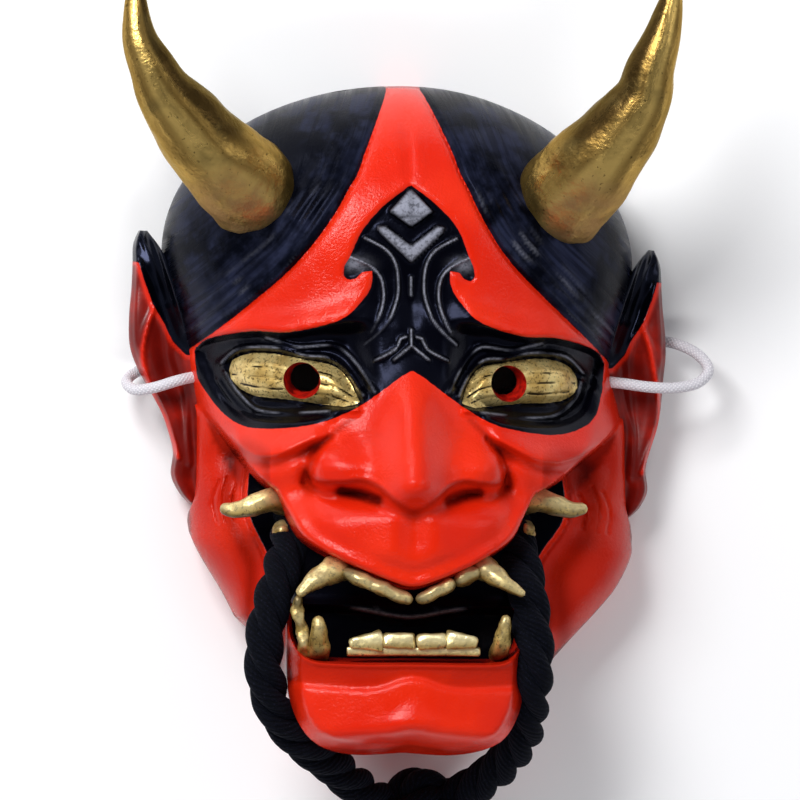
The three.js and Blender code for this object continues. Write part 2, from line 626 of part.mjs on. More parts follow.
const castRed = new THREE.MeshStandardMaterial({ color: 0xd3200f, roughness: 0.28, metalness: 0 });
const ropeBlack = new THREE.MeshStandardMaterial({ color: 0x0d0f14, roughness: 0.9, metalness: 0 });
const strapWhite = new THREE.MeshStandardMaterial({ color: 0xe6e3e6, roughness: 0.75, metalness: 0 });

const object = new THREE.Group();

function place(name, geometry, material) {
  const mesh = new THREE.Mesh(geometry, material);
  mesh.name = name;
  object.add(mesh);
  return mesh;
}

const cast = place('mask', mask(), castRed);
place('rope_left', ropeTo(ROPE_LEFT), ropeBlack);
place('rope_right', ropeTo(ROPE_RIGHT), ropeBlack);
place('rope_knot', geometryOf(knot()), ropeBlack);
place('rope_tail_left', ropeTo(TAIL_LEFT), ropeBlack);
place('rope_tail_right', ropeTo(TAIL_RIGHT), ropeBlack);
place('elastic_strap', geometryOf(solidOf(tube(STRAP, STRAP_RADIUS, 0, 8))), strapWhite);

// The origin is under the middle of the cast, on the surface it lies on
cast.geometry.computeBoundingBox();
const middle = cast.geometry.boundingBox.getCenter(new THREE.Vector3());
object.position.set(-middle.x, -middle.y, 0);

export default object;
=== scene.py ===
"""A horned demon mask: gloss red and black cast, old gold horns, eyes and teeth, black rope, white elastic.

Shapes are worked out in the mask's own millimetres (x to the viewer's right, y up the face, z out of it)
and moved into the frame at the end.
"""

import math

import bmesh
import bpy
import numpy as np
from mathutils import Matrix, Vector


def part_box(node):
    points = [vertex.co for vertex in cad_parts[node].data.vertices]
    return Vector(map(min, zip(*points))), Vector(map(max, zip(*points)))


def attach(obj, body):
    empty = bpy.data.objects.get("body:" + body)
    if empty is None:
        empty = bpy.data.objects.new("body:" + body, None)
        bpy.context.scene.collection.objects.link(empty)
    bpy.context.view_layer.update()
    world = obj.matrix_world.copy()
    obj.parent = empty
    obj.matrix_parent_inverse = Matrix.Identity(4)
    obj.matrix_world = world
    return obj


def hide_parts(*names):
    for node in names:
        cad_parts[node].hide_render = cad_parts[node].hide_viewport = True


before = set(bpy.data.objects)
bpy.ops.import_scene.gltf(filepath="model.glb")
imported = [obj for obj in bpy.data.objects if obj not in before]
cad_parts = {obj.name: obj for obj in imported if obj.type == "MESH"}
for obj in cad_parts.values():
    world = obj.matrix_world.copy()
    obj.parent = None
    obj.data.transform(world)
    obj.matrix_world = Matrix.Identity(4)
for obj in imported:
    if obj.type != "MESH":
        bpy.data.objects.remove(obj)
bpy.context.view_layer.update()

MM = 0.001
KNOT_CENTRE = np.array([8.6, -151.0, 13.4])
KNOT_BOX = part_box("rope_knot")
SHIFT = np.array([(KNOT_BOX[0][k] + KNOT_BOX[1][k]) / 2 / MM - KNOT_CENTRE[k] for k in (0, 1)] + [0.0])

# The cast
DOME_HALF_WIDTH = 80.8
DOME_LENGTH = 60.0
DOME_CENTRE_Y = 34.0
DOME_HEIGHT = 74.0
EDGE_HEIGHT = 12.0
WALL = 3.2
SIDE_DROP = 2.55
SIDE_REACH = 76.0
CHEEK_LEAN = 4.2
JAW_LEAN = 1.4
TIP_TUCK = 3.8
MIDDLE = 1.5
SOCKET_SHIFT = 1.8
CREST_SPREAD = 1.2
RIM_DRAFT = 0.985
CHIN_TUCK = 10.0
CORD_ARCH = 7.0
EYE_X = 35.2
EYE_Y = -7.5
PUPIL_RADIUS = 6.2
MOUTH_FLOOR = 56.0
CORNER_FLOOR = 46.0
STEP = 1.0
MUZZLE_HEIGHT = 92.5
CHIN_HEIGHT = 85.0
LIP_HALF_WIDTH = 40.0

SIDES = ((-1, "left"), (1, "right"))

# Ropes and elastic
ROPE_LAY = 38.0
STRAP_RADIUS = 1.9


# Small helpers

def smooth(start, end, t):
    s = np.clip((t - start) / (end - start), 0, 1)
    return s * s * (3 - 2 * s)


def mix(a, b, t):
    return a + (b - a) * t


def bell(d, width):
    return np.exp(-((d / width) ** 2))


def bump(x, y, cx, cy, rx, ry):
    return bell(np.hypot((x - cx) / rx, (y - cy) / ry), 1)


def ripple(x, y, size, seed):
    """A gentle irregular swell between about -1 and 1"""
    u = x * 2 * math.pi / size
    v = y * 2 * math.pi / size
    return (np.sin(u + 1.7 * np.sin(0.61 * v + seed) + seed) * 0.5
            + np.sin(0.83 * v - 1.3 * np.sin(0.74 * u + 2.1 * seed)) * 0.35
            + np.sin(1.9 * u + 1.4 * v + 3.3 * seed) * 0.15)


def spline(points, pitch=2.0, root=0.0):
    """A smooth line through a few points, at an even pitch; root 0.5 keeps it steady past close points"""
    given = np.array(points, float)
    if root:
        given = np.vstack([2 * given[0] - given[1], given, 2 * given[-1] - given[-2]])
    else:
        given = np.vstack([given[0], given, given[-1]])
    t = np.linspace(0, 1, 17)[:, None]
    parts = []
    for p0, p1, p2, p3 in zip(given[:-3], given[1:-2], given[2:-1], given[3:]):
        d0, d1, d2 = (max(np.linalg.norm(b - a), 1e-6) ** root for a, b in ((p0, p1), (p1, p2), (p2, p3)))
        m1 = ((p1 - p0) / d0 - (p2 - p0) / (d0 + d1) + (p2 - p1) / d1) * d1
        m2 = ((p2 - p1) / d1 - (p3 - p1) / (d1 + d2) + (p3 - p2) / d2) * d1
        parts.append((2 * t ** 3 - 3 * t ** 2 + 1) * p1 + (t ** 3 - 2 * t ** 2 + t) * m1
                     + (3 * t ** 2 - 2 * t ** 3) * p2 + (t ** 3 - t ** 2) * m2)
    return even(np.vstack(parts), pitch)


def even(points, pitch):
    along = np.concatenate([[0], np.cumsum(np.linalg.norm(np.diff(points, axis=0), axis=1))])
    at = np.linspace(0, along[-1], max(3, round(along[-1] / pitch) + 1))
    return np.stack([np.interp(at, along, points[:, k]) for k in range(points.shape[1])], axis=1)


def length_of(points):
    return float(np.linalg.norm(np.diff(points, axis=0), axis=1).sum())


def mirrored(half):
    half = np.array(half, float)
    other = half[half[:, 0] > 0.01][::-1] * [-1, 1]
    return np.vstack([half, other])


def segment_distance(x, y, a, b):
    dx, dy = b[0] - a[0], b[1] - a[1]
    t = np.clip(((x - a[0]) * dx + (y - a[1]) * dy) / (dx * dx + dy * dy or 1), 0, 1)
    return np.hypot(x - a[0] - t * dx, y - a[1] - t * dy)


def line_distance(path, x, y):
    best = np.full(np.shape(x), 1e9)
    for a, b in zip(path[:-1], path[1:]):
        best = np.minimum(best, segment_distance(x, y, a, b))
    return best


def by_line(path, x, y, width, off=0.0):
    """1 at a set distance from a line, falling to nothing about width to either side"""
    return bell(line_distance(path, x, y) - off, width)


def depth(outline, x, y):
    """How far a point is inside a closed outline; negative outside"""
    best = np.full(np.shape(x), 1e9)
    inside = np.zeros(np.shape(x), bool)
    for a, b in zip(outline, np.roll(outline, 1, axis=0)):
        best = np.minimum(best, segment_distance(x, y, a, b))
        if a[1] != b[1]:
            crosses = (a[1] > y) != (b[1] > y)
            inside ^= crosses & (x < (b[0] - a[0]) * (y - a[1]) / (b[1] - a[1]) + a[0])
    return np.where(inside, best, -best)


def nearest_on(path, points, closed=True):
    """The nearest point of a line or closed outline to each of some points"""
    best = np.full(len(points), 1e9)
    found = points.copy()
    for a, b in zip(path if closed else path[1:], np.roll(path, 1, axis=0) if closed else path[:-1]):
        d = b - a
        t = np.clip(((points - a) @ d) / max(d @ d, 1e-12), 0, 1)[:, None]
        there = a + t * d
        away = np.linalg.norm(points - there, axis=1)
        closer = away < best
        best = np.where(closer, away, best)
        found[closer] = there[closer]
    return found


def settle(x, y):
    """The casting's right side sits a little lower than its left"""
    return y - SIDE_DROP * np.sign(x) * (x / SIDE_REACH) ** 2


def lean(x, y):
    """Below the eyes both sides stand a little to the right, and the left tip runs in behind the rope"""
    amount = CHEEK_LEAN * smooth(2, -24, y) + JAW_LEAN * smooth(-50, -80, y)
    tuck = TIP_TUCK * smooth(-88, -96, y) * smooth(44, 52, -x)
    return x + amount * smooth(44, 70, np.abs(x)) + tuck


def middle_offset(x, y):
    """The face's own middle line runs a little right of the outline's"""
    crest_part = smooth(10, 20, y) * smooth(64, 56, y)
    offset = MIDDLE + CREST_SPREAD * crest_part * np.clip(x / 18, -1, 1)
    return offset * smooth(36, 14, np.abs(x))


def from_middle(x, y):
    return np.abs(x - middle_offset(x, y))


def placed(point):
    """A point of the mask's own, in the frame's metres"""
    return tuple((np.array(point) + SHIFT) * MM)


def nearest_index(points, line):
    """For each point, the number of the nearest one on a line"""
    return np.argmin(np.linalg.norm(points[:, None] - line[None], axis=2), axis=1)


def along_line(line, points):
    """How far along a line each of its given points lies"""
    return nearest_index(np.array(points, float), line) * length_of(line) / (len(line) - 1)


def added(name, data):
    """A new object, in the scene's collection"""
    made = bpy.data.objects.new(name, data)
    bpy.context.scene.collection.objects.link(made)
    return made


# Camera: square on to the face, a few degrees round to the viewer's left

PHOTO_WIDTH = 272.0
CAMERA_YAW = math.radians(3.1)
CAMERA_DISTANCE = 6000.0
VIEW_CENTRE = np.array([-1.5, -13.6, 60.0])


def make_camera():
    data = bpy.data.cameras.new("camera")
    data.sensor_width = 36.0
    data.lens = data.sensor_width * CAMERA_DISTANCE / PHOTO_WIDTH
    data.clip_start = 0.1
    data.clip_end = 100.0
    camera = added("camera", data)
    back = Vector((-math.sin(CAMERA_YAW), 0.0, math.cos(CAMERA_YAW)))
    target = Vector(placed(VIEW_CENTRE))
    camera.location = target + back * CAMERA_DISTANCE * MM
    camera.rotation_euler = (0.0, -CAMERA_YAW, 0.0)
    bpy.context.scene.camera = camera


make_camera()


# Materials

def linear(r, g, b):
    """A colour given as on a paint card, 0 to 255, in the shader's own units"""
    shares = [c / 255 for c in (r, g, b)]
    return tuple(s / 12.92 if s < 0.043 else ((s + 0.055) / 1.055) ** 2.4 for s in shares) + (1.0,)


class Finish:
    """A material and short ways to add to its nodes"""

    def __init__(self, name, **values):
        self.material = bpy.data.materials.new(name)
        self.material.use_nodes = True
        self.tree = self.material.node_tree
        self.shader = self.tree.nodes["Principled BSDF"]
        for key, value in values.items():
            self.shader.inputs[key.replace("_", " ")].default_value = value

    def node(self, kind, settings=None, inputs=None):
        made = self.tree.nodes.new("ShaderNode" + kind)
        for key, value in (settings or {}).items():
            setattr(made, key, value)
        for key, value in (inputs or {}).items():
            self.join(value, made.inputs[key])
        return made

    def join(self, value, socket):
        if isinstance(value, bpy.types.NodeSocket):
            self.tree.links.new(value, socket)
        else:
            socket.default_value = value

    def set(self, name, value):
        self.join(value, self.shader.inputs[name])

    def attribute(self, name):
        return self.node("Attribute", {"attribute_name": name}).outputs["Fac"]

    def noise(self, size, detail=3.0, rough=0.5, where=None):
        """Noise with swells about size millimetres across"""
        where = self.node("TexCoord").outputs["Object"] if where is None else where
        inputs = {"Vector": where, "Scale": 1 / (size * MM), "Detail": detail, "Roughness": rough}
        return self.node("TexNoise", None, inputs).outputs["Fac"]

    def brushed(self, across, detail, rough):
        """Streaks of noise, laid across and along the piece by two fields of its mesh"""
        fields = {"X": self.attribute(across), "Y": self.attribute("along"), "Z": 0.0}
        return self.noise(1 / MM, detail, rough, self.node("CombineXYZ", None, fields).outputs[0])

    def wave(self, scale, distortion, grain=1.0, way=1):
        """Slanting stripes on a bar's UV; way -1 slants them back"""
        uv = self.node("TexCoord").outputs["UV"]
        inputs = {"Vector": self.node("Mapping", None, {"Vector": uv, "Scale": (way, 1, 1)}).outputs[0],
                  "Scale": scale, "Distortion": distortion, "Detail": 2.0, "Detail Scale": grain}
        return self.node("TexWave", {"bands_direction": "DIAGONAL"}, inputs).outputs["Fac"]

    def ramp(self, value, low, high, low_to=0.0, high_to=1.0):
        inputs = {"Value": value, "From Min": low, "From Max": high, "To Min": low_to, "To Max": high_to}
        return self.node("MapRange", {"interpolation_type": "SMOOTHSTEP"}, inputs).outputs["Result"]

    def plus(self, a, b):
        return self.node("Math", {"operation": "ADD"}, {0: a, 1: b}).outputs[0]

    def times(self, a, b):
        return self.node("Math", {"operation": "MULTIPLY"}, {0: a, 1: b}).outputs[0]

    def painted(self, name, soft):
        """Share of a paint, from the signed distance to its edge, which wavers as a brush does"""
        waver = self.times(self.plus(self.noise(2.2), -0.5), 0.5)
        return self.ramp(self.plus(self.attribute(name), waver), -soft, soft)

    def blend(self, share, a, b):
        """Colour a where share is 0, b where it is 1"""
        made = self.node("Mix", {"data_type": "RGBA"})
        for value, index in ((share, 0), (a, 6), (b, 7)):
            self.join(value, made.inputs[index])
        return made.outputs[2]

    def between(self, share, a, b):
        return self.node("Mix", {"data_type": "FLOAT"}, {0: share, 2: a, 3: b}).outputs[0]

    def relief(self, height, distance, strength, onto=None):
        """Bump of a height between 0 and 1, distance millimetres high"""
        inputs = {"Height": height, "Distance": distance * MM, "Strength": strength}
        if onto is not None:
            inputs["Normal"] = onto
        return self.node("Bump", None, inputs).outputs[0]


def old_gold(f, low, high):
    """Colour of the gold paint: bright where it stands proud, brown and dull in the pits"""
    cloud = f.noise(9, 4, 0.6)
    pits = f.noise(1.1, 3, 0.65)
    colour = f.blend(f.ramp(cloud, 0.36, 0.66), low, high)
    return f.blend(f.ramp(pits, 0.36, 0.47, 0.75, 0.0), colour, linear(62, 46, 20))


def black_tint(f, black):
    """Black gloss mirrors the room a little bluer than red gloss does"""
    f.set("Specular Tint", f.blend(black, linear(255, 255, 255), linear(178, 188, 240)))


def lacquer():
    """The cast's gloss paint: red, black in the hair, brows and mouth, gold in the eyes"""
    f = Finish("gloss_lacquer")
    black, gold = f.painted("black", 0.15), f.painted("gold", 0.12)
    wash = f.attribute("wash")
    hair = f.ramp(f.attribute("hair"), -0.2, 0.4)
    cloud = f.noise(26)
    red = f.blend(f.ramp(cloud, 0.3, 0.7), linear(214, 33, 9), linear(226, 43, 14))
    # Painted shade: the red darkens in folds, hollows, nostrils, under the lips and on the flanges
    red = f.blend(wash, red, linear(58, 5, 4))
    combed = f.brushed("strand", 3.0, 0.5)
    # Painted sheen: lighter blue-grey patches in the hair's black
    painted_sheen = f.times(f.ramp(f.noise(17, 4, 0.6), 0.4, 0.62), f.ramp(combed, 0.36, 0.66, 0.35, 1.0))
    dark = f.blend(painted_sheen, linear(3, 4, 10), linear(34, 38, 58))
    dark = f.blend(hair, linear(2, 2, 6), dark)
    # Painted highlights: light grey on the black's crest plates and on the ridges of the ribs, lids, tongue
    # and combed hair
    worn = f.times(f.attribute("worn"), f.ramp(f.noise(1.4, 4, 0.65), 0.34, 0.56, 0.4, 1.0))
    dark = f.blend(worn, dark, linear(158, 160, 174))
    worn_gold = old_gold(f, linear(196, 162, 92), linear(238, 214, 146))
    worn_gold = f.blend(f.ramp(f.attribute("line"), 0.25, 0.8), worn_gold, linear(30, 22, 10))
    f.set("Base Color", f.blend(gold, f.blend(black, red, dark), worn_gold))
    f.set("Metallic", f.between(gold, 0.0, 0.55))
    black_rough = f.between(hair, f.between(worn, 0.27, 0.5), f.ramp(combed, 0.3, 0.7, 0.22, 0.36))
    rough = f.between(black, f.ramp(cloud, 0.2, 0.8, 0.17, 0.25), black_rough)
    f.set("Roughness", f.between(gold, rough, 0.36))
    red_shine = f.ramp(wash, 0.0, 0.6, 0.22, 0.05)
    f.set("Specular IOR Level", f.between(black, red_shine, f.between(hair, 0.14, 0.06)))
    black_tint(f, black)
    red_peel = f.ramp(f.noise(13, 2), 0.36, 0.6, 0.6, 1.0)
    peel = f.relief(f.noise(1.0, 3, 0.6), 0.24, f.between(black, red_peel, 0.25))
    streaks = f.times(combed, f.times(hair, f.ramp(f.attribute("strand"), 6, 22, 1.0, 0.3)))
    f.set("Normal", f.relief(streaks, 0.16, 0.6, peel))
    return f.material


def pupil_red():
    """Gloss red on the walls of the pupil holes, darker where the brush missed"""
    f = Finish("pupil_red", Roughness=0.3)
    f.set("Base Color", f.blend(f.ramp(f.noise(2.4), 0.35, 0.7), linear(206, 32, 18), linear(128, 14, 9)))
    f.set("Normal", f.relief(f.noise(1.2), 0.08, 0.5))
    return f.material


def bare_inside():
    """The hollow back: dull dark red, as it left the mould"""
    f = Finish("cast_inside", Roughness=0.62)
    cloud = f.noise(18, 4)
    f.set("Base Color", f.blend(f.ramp(cloud, 0.35, 0.7), linear(118, 18, 12), linear(148, 27, 18)))
    f.set("Normal", f.relief(f.noise(2.4, 4, 0.6), 0.25, 0.5))
    return f.material


def horn_gold():
    """Old gold brushed on along the horn, with a painted highlight down the middle, painted shade at the
    sides and dull at the foot
    """
    f = Finish("horn_gold", Metallic=0.9, Specular_Tint=linear(255, 236, 190))
    brush = f.brushed("side", 4.0, 0.6)
    colour = f.blend(f.ramp(brush, 0.32, 0.7), linear(132, 104, 52), linear(184, 150, 82))
    shade = f.plus(f.attribute("shade"), f.times(f.plus(brush, -0.5), 0.8))
    # Low shade values give the painted highlight, high ones the painted shade
    colour = f.blend(f.ramp(shade, -0.9, -0.15, 0.85, 0.0), colour, linear(218, 184, 106))
    colour = f.blend(f.ramp(shade, 0.2, 0.85, 0.0, 0.94), colour, linear(58, 42, 18))
    colour = f.blend(f.ramp(f.noise(1.5, 3, 0.6), 0.3, 0.37, 0.7, 0.0), colour, linear(56, 42, 20))
    colour = f.blend(f.ramp(f.noise(20, 4), 0.54, 0.7, 0.0, 0.55), colour, linear(104, 88, 50))
    foot = f.times(f.ramp(f.attribute("foot"), 0.0, 1.0), f.ramp(f.noise(7), 0.3, 0.6, 0.4, 1.0))
    f.set("Base Color", f.blend(foot, colour, linear(164, 132, 88)))
    f.set("Roughness", f.between(foot, f.ramp(brush, 0.3, 0.7, 0.38, 0.25), 0.55))
    fine = f.relief(f.noise(0.9, 4, 0.6), 0.16, 0.6)
    f.set("Normal", f.relief(f.noise(5.5), 0.9, 0.7, f.relief(brush, 0.3, 0.6, fine)))
    return f.material


def tooth_gold(name, low, high):
    f = Finish(name, Metallic=0.5)
    colour = old_gold(f, low, high)
    # Painted highlight on the upper and front faces of the teeth
    colour = f.blend(f.attribute("proud"), colour, linear(252, 238, 184))
    # Dark stains, and on the fangs also painted shade underneath and at the root
    f.set("Base Color", f.blend(f.ramp(f.attribute("line"), 0.2, 0.8), colour, linear(34, 26, 12)))
    f.set("Roughness", f.ramp(f.noise(3), 0.3, 0.7, 0.28, 0.45))
    f.set("Normal", f.relief(f.noise(1.6), 0.26, 0.8))
    return f.material


def rope_cotton():
    """Black cotton: yarns laid side by side, with a little bloom of loose fibre"""
    f = Finish("rope_cotton", Roughness=0.9, Specular_IOR_Level=0.1, Sheen_Weight=0.03, Sheen_Roughness=0.5,
               Sheen_Tint=linear(120, 130, 180))
    yarn = f.wave(330.0, 1.4, 1.6)
    fluff = f.noise(0.7, 4, 0.7)
    colour = f.blend(f.ramp(fluff, 0.4, 0.75), linear(3, 4, 10), linear(11, 14, 27))
    colour = f.blend(f.ramp(f.noise(0.5, 2), 0.58, 0.7, 0.0, 0.5), colour, linear(40, 42, 58))
    # Painted shade: darker in the grooves between the yarns
    f.set("Base Color", f.blend(f.ramp(yarn, 0.1, 0.6, 0.7, 0.0), colour, linear(2, 3, 6)))
    f.set("Normal", f.relief(fluff, 0.3, 0.6, f.relief(yarn, 0.35, 0.8)))
    return f.material


def elastic_braid():
    f = Finish("elastic_braid", Roughness=0.72, Sheen_Weight=0.2)
    weave = f.times(f.wave(420.0, 0.4), f.wave(420.0, 0.4, way=-1))
    # Painted shade: the braid is darker in the grooves between its raised crossings
    f.set("Base Color", f.blend(weave, linear(206, 202, 210), linear(240, 238, 242)))
    f.set("Normal", f.relief(weave, 0.3, 0.8))
    return f.material


def plain_floor():
    f = Finish("plain_floor", Roughness=0.9)
    f.set("Base Color", linear(250, 250, 251))
    return f.material


# Making meshes

def places(verts):
    return np.array([vert.co for vert in verts])


def border_of(verts):
    return list({edge for vert in verts for edge in vert.link_edges if edge.is_boundary})


def place_points(verts, points):
    for vert, point in zip(verts, points):
        vert.co = point


def made_object(name, bm, materials, uv_size=None, fields=None, sharp=50.0, warped=False):
    """Ends a mesh built in the mask's millimetres: into the frame's metres, smooth, riding on the body"""
    bmesh.ops.recalc_face_normals(bm, faces=bm.faces)
    for face in bm.faces:
        face.smooth = True
    mesh = bpy.data.meshes.new(name)
    bm.to_mesh(mesh)
    bm.free()
    flat = np.zeros(len(mesh.vertices) * 3)
    mesh.vertices.foreach_get("co", flat)
    points = flat.reshape(-1, 3)
    for key, values in (fields(points) if fields else {}).items():
        mesh.attributes.new(key, "FLOAT", "POINT").data.foreach_set("value", np.float32(values))
    if warped:
        x, y = points[:, 0].copy(), points[:, 1].copy()
        points[:, 0], points[:, 1] = lean(x, y), settle(x, y)
    mesh.vertices.foreach_set("co", ((points + SHIFT) * MM).ravel())
    if uv_size:
        uv = np.zeros(len(mesh.loops) * 2)
        mesh.uv_layers[0].uv.foreach_get("vector", uv)
        mesh.uv_layers[0].uv.foreach_set("vector", (uv.reshape(-1, 2) * uv_size * MM).ravel())
    mesh.update()
    mesh.set_sharp_from_angle(angle=math.radians(sharp))
    for material in materials:
        mesh.materials.append(material)
    piece = added(name, mesh)
    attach(piece, "root")
    return piece


def cross_directions(line):
    """Two steady directions across a line at each of its points"""
    along = np.gradient(line, axis=0)
    along /= np.linalg.norm(along, axis=1)[:, None]
    normal = np.cross(along[0], [0.31, 0.17, 1.0])
    normals = []
    for direction in along:
        normal = normal - direction * (normal @ direction)
        normal /= np.linalg.norm(normal)
        normals.append(normal)
    normals = np.array(normals)
    return normals, np.cross(along, normals)


def roll(bm, line, sides, radius_at):
    """A grid rolled round a line into a closed bar; radius_at(distance along, angle round)"""
    if not bm.loops.layers.uv:
        bm.loops.layers.uv.new("around")
    steps = len(line) - 1
    normals, others = cross_directions(line)
    verts = bmesh.ops.create_grid(bm, x_segments=sides, y_segments=steps, size=0.5, calc_uvs=True)["verts"]
    flat = places(verts)
    angle = (flat[:, 0] + 0.5) * 2 * math.pi
    row = np.rint((flat[:, 1] + 0.5) * steps).astype(int)
    distance = row * length_of(line) / steps
    radius = radius_at(distance, angle)[:, None]
    across = np.cos(angle)[:, None] * normals[row] + np.sin(angle)[:, None] * others[row]
    place_points(verts, line[row] + radius * across)
    bmesh.ops.remove_doubles(bm, verts=verts, dist=1e-4)


def closing(distance, length, radius):
    """Share of the radius near the ends of a bar, so that both close in a round"""
    near = np.minimum(distance, length - distance) / radius
    return np.sqrt(np.clip(1 - (1 - np.clip(near, 0, 1)) ** 2, 0, 1))


# Cords: the solids' routes; by the knot the left rope's last three points lie up to 2.3 mm from theirs

ROPE_LEFT = [(-34, -41, 24), (-37, -51, 40), (-39.4, -63, 57), (-44, -77.5, 67.5), (-47.5, -90, 71),
             (-48.4, -102, 70.5), (-46.2, -113.6, 66.5), (-41.8, -122.4, 61), (-33.5, -130.8, 52),
             (-24, -137.8, 39), (-14.4, -145.8, 25.5), (-5, -151.6, 16), (4, -153, 13.4)]
ROPE_RIGHT = [(33, -41, 24), (36, -51, 40), (38.4, -63, 58), (41, -76, 68), (42.6, -89, 72),
              (43.8, -102, 72), (42.8, -113.6, 65.5), (41.4, -126, 53), (36.2, -136, 39.5),
              (27.5, -144.4, 26.5), (19, -149.2, 17), (11, -151, 13.4)]
TAIL_LEFT = [(6, -152, 12.4), (0.6, -163, 9.4), (-3.6, -176, 7.2), (-7, -192, 6.8), (-9, -215.6, 6.8)]
TAIL_RIGHT = [(11, -152, 12.4), (17, -163, 9.4), (21, -176, 7.2), (25, -192, 6.8), (27, -215.6, 6.8)]
STRAP = [(-63, -5, 22), (-69.5, -5.6, 23.5), (-76, -7, 26.5), (-84, -9.4, 25), (-90.4, -10, 19.5),
         (-92.6, -7, 12), (-88, -3.6, 5.6), (-80, -3, 2.9), (-68, -3.4, 2.5), (-50, -8, 2.3),
         (-25, -13, 2.3), (0, -14, 2.3), (25, -13, 2.3), (50, -8, 2.3), (68, -3.6, 2.5), (80, 2, 3.2),
         (90, 6.4, 6), (98, 5, 10), (104.4, 1, 14), (106.6, -3.6, 18), (103, -7.6, 21.5), (95, -9.4, 24.5),
         (86, -9.2, 26.5), (77, -8, 26.5), (69.5, -7.2, 23.5), (63, -7, 22)]

KNOT_BIGHT = [(0.4, -160, 12), (1.2, -152.6, 15.4), (3.6, -146.9, 16), (7.3, -145.0, 16), (11, -146.9, 15.6),
              (13.4, -152.2, 14.4), (15.6, -153.0, 11), (16.4, -151, 8)]

STRAND_SIDES = 22
STRAND_RADIUS = 3.45
STRAND_OFFSET = 3.3
STRAND_GIRTH = 21
STRAND_GATHER = 4.0
STRAND_END = 2.6
STRAP_SIDES = 14
STRAP_GIRTH = 12
YARNS = 9
YARN_LAY = 44.0
YARN_DEPTH = 0.05
KNOT_START = -0.35
KNOT_TURNS = 1.7
KNOT_STEPS = 90
KNOT_REACH = (7.4, 6.9)


def twisted(name, line, material, turn=0.0):
    """Three strands laid round a line, each with its yarns"""
    line = even(line, 0.8)
    length = length_of(line)
    normals, others = cross_directions(line)
    distance = np.linspace(0, length, len(line))
    bm = bmesh.new()
    for k in range(3):
        angle = 2 * math.pi * (k / 3 - distance / ROPE_LAY) + turn
        offset = STRAND_OFFSET * closing(distance, length, STRAND_GATHER)
        middle = line + offset[:, None] * (np.cos(angle)[:, None] * normals + np.sin(angle)[:, None] * others)

        def radius_at(along, round_it):
            lay = round_it - 2 * math.pi * along / YARN_LAY
            yarns = 1 + YARN_DEPTH * np.abs(np.sin(YARNS / 2 * lay)) ** 0.7
            return STRAND_RADIUS * yarns * closing(along, length_of(middle), STRAND_END)

        roll(bm, middle, STRAND_SIDES, radius_at)
    return made_object(name, bm, [material], uv_size=(STRAND_GIRTH, length))


def rope_pieces():
    cotton = rope_cotton()
    lines = {name: spline(points, 1.0, 0.5) for name, points in (
        ("rope_left", ROPE_LEFT), ("rope_right", ROPE_RIGHT),
        ("rope_tail_left", TAIL_LEFT), ("rope_tail_right", TAIL_RIGHT))}
    around = np.linspace(KNOT_START, KNOT_START + KNOT_TURNS, KNOT_STEPS) * 2 * math.pi
    drift = np.linspace(1.0, -7.0, KNOT_STEPS)
    wide, deep = KNOT_REACH
    wrap = KNOT_CENTRE + np.stack([wide * np.cos(around), drift, deep * np.sin(around)], axis=1)
    knot = twisted("knot_turns", np.vstack([spline(KNOT_BIGHT, 1.0, 0.5), wrap]), cotton, 0.6)
    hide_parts("rope_knot")
    made = {name: twisted(name + "_strands", line, cotton) for name, line in lines.items()}
    for name, piece in made.items():
        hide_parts(name)


def elastic():
    line = spline(STRAP, 0.8, 0.5)
    length = length_of(line)
    bm = bmesh.new()

    def radius_at(along, angle):
        return STRAP_RADIUS * closing(along, length, STRAP_RADIUS)

    roll(bm, line, STRAP_SIDES, radius_at)
    piece = made_object("elastic_cord", bm, [elastic_braid()], uv_size=(STRAP_GIRTH, length))
    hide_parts("elastic_strap")


rope_pieces()
elastic()


# Outlines and carving lines of the face, on the viewer's right

def dome_arc(half_width, length, steps):
    angle = math.pi / 2 * (1 - np.arange(steps) / steps)
    return np.stack([half_width * np.cos(angle), DOME_CENTRE_Y + length * np.sin(angle)], axis=1)


SIDE = spline([(80.8, 34), (79.4, 22), (76.4, 11), (73.6, 1), (73.3, -14), (73.3, -32), (73.8, -48),
               (76.2, -56), (75.3, -64), (70.3, -74), (64.2, -83), (57.2, -93), (51.6, -101.4)], 3)
NOTCH = np.array([(48.8, -94.5), (47.6, -88), (46.8, -82.5), (43.6, -78.4), (41, -82.8)])
CHIN = spline([(40.4, -87), (40.4, -99), (39.6, -115), (35.2, -126), (28, -132), (16.3, -134.6),
               (0, -133.8)], 3)
SILHOUETTE = mirrored(np.vstack([dome_arc(DOME_HALF_WIDTH, DOME_LENGTH, 36), SIDE, NOTCH, CHIN]))
RIM_INSIDE = mirrored(np.vstack([
    dome_arc(75.6, 55, 24),
    spline([(75.6, 34), (73.6, 18), (69, 4), (68.6, -14), (68.8, -46), (70.4, -56), (69, -63),
            (63, -71.5), (56.4, -79)], 4),
    [(51.8, -79.5), (48.2, -73.5), (41.5, -73), (37.2, -80)],
    spline([(36.8, -88), (36.4, -104), (32, -115), (20, -119.5), (0, -119.5)], 4)]))

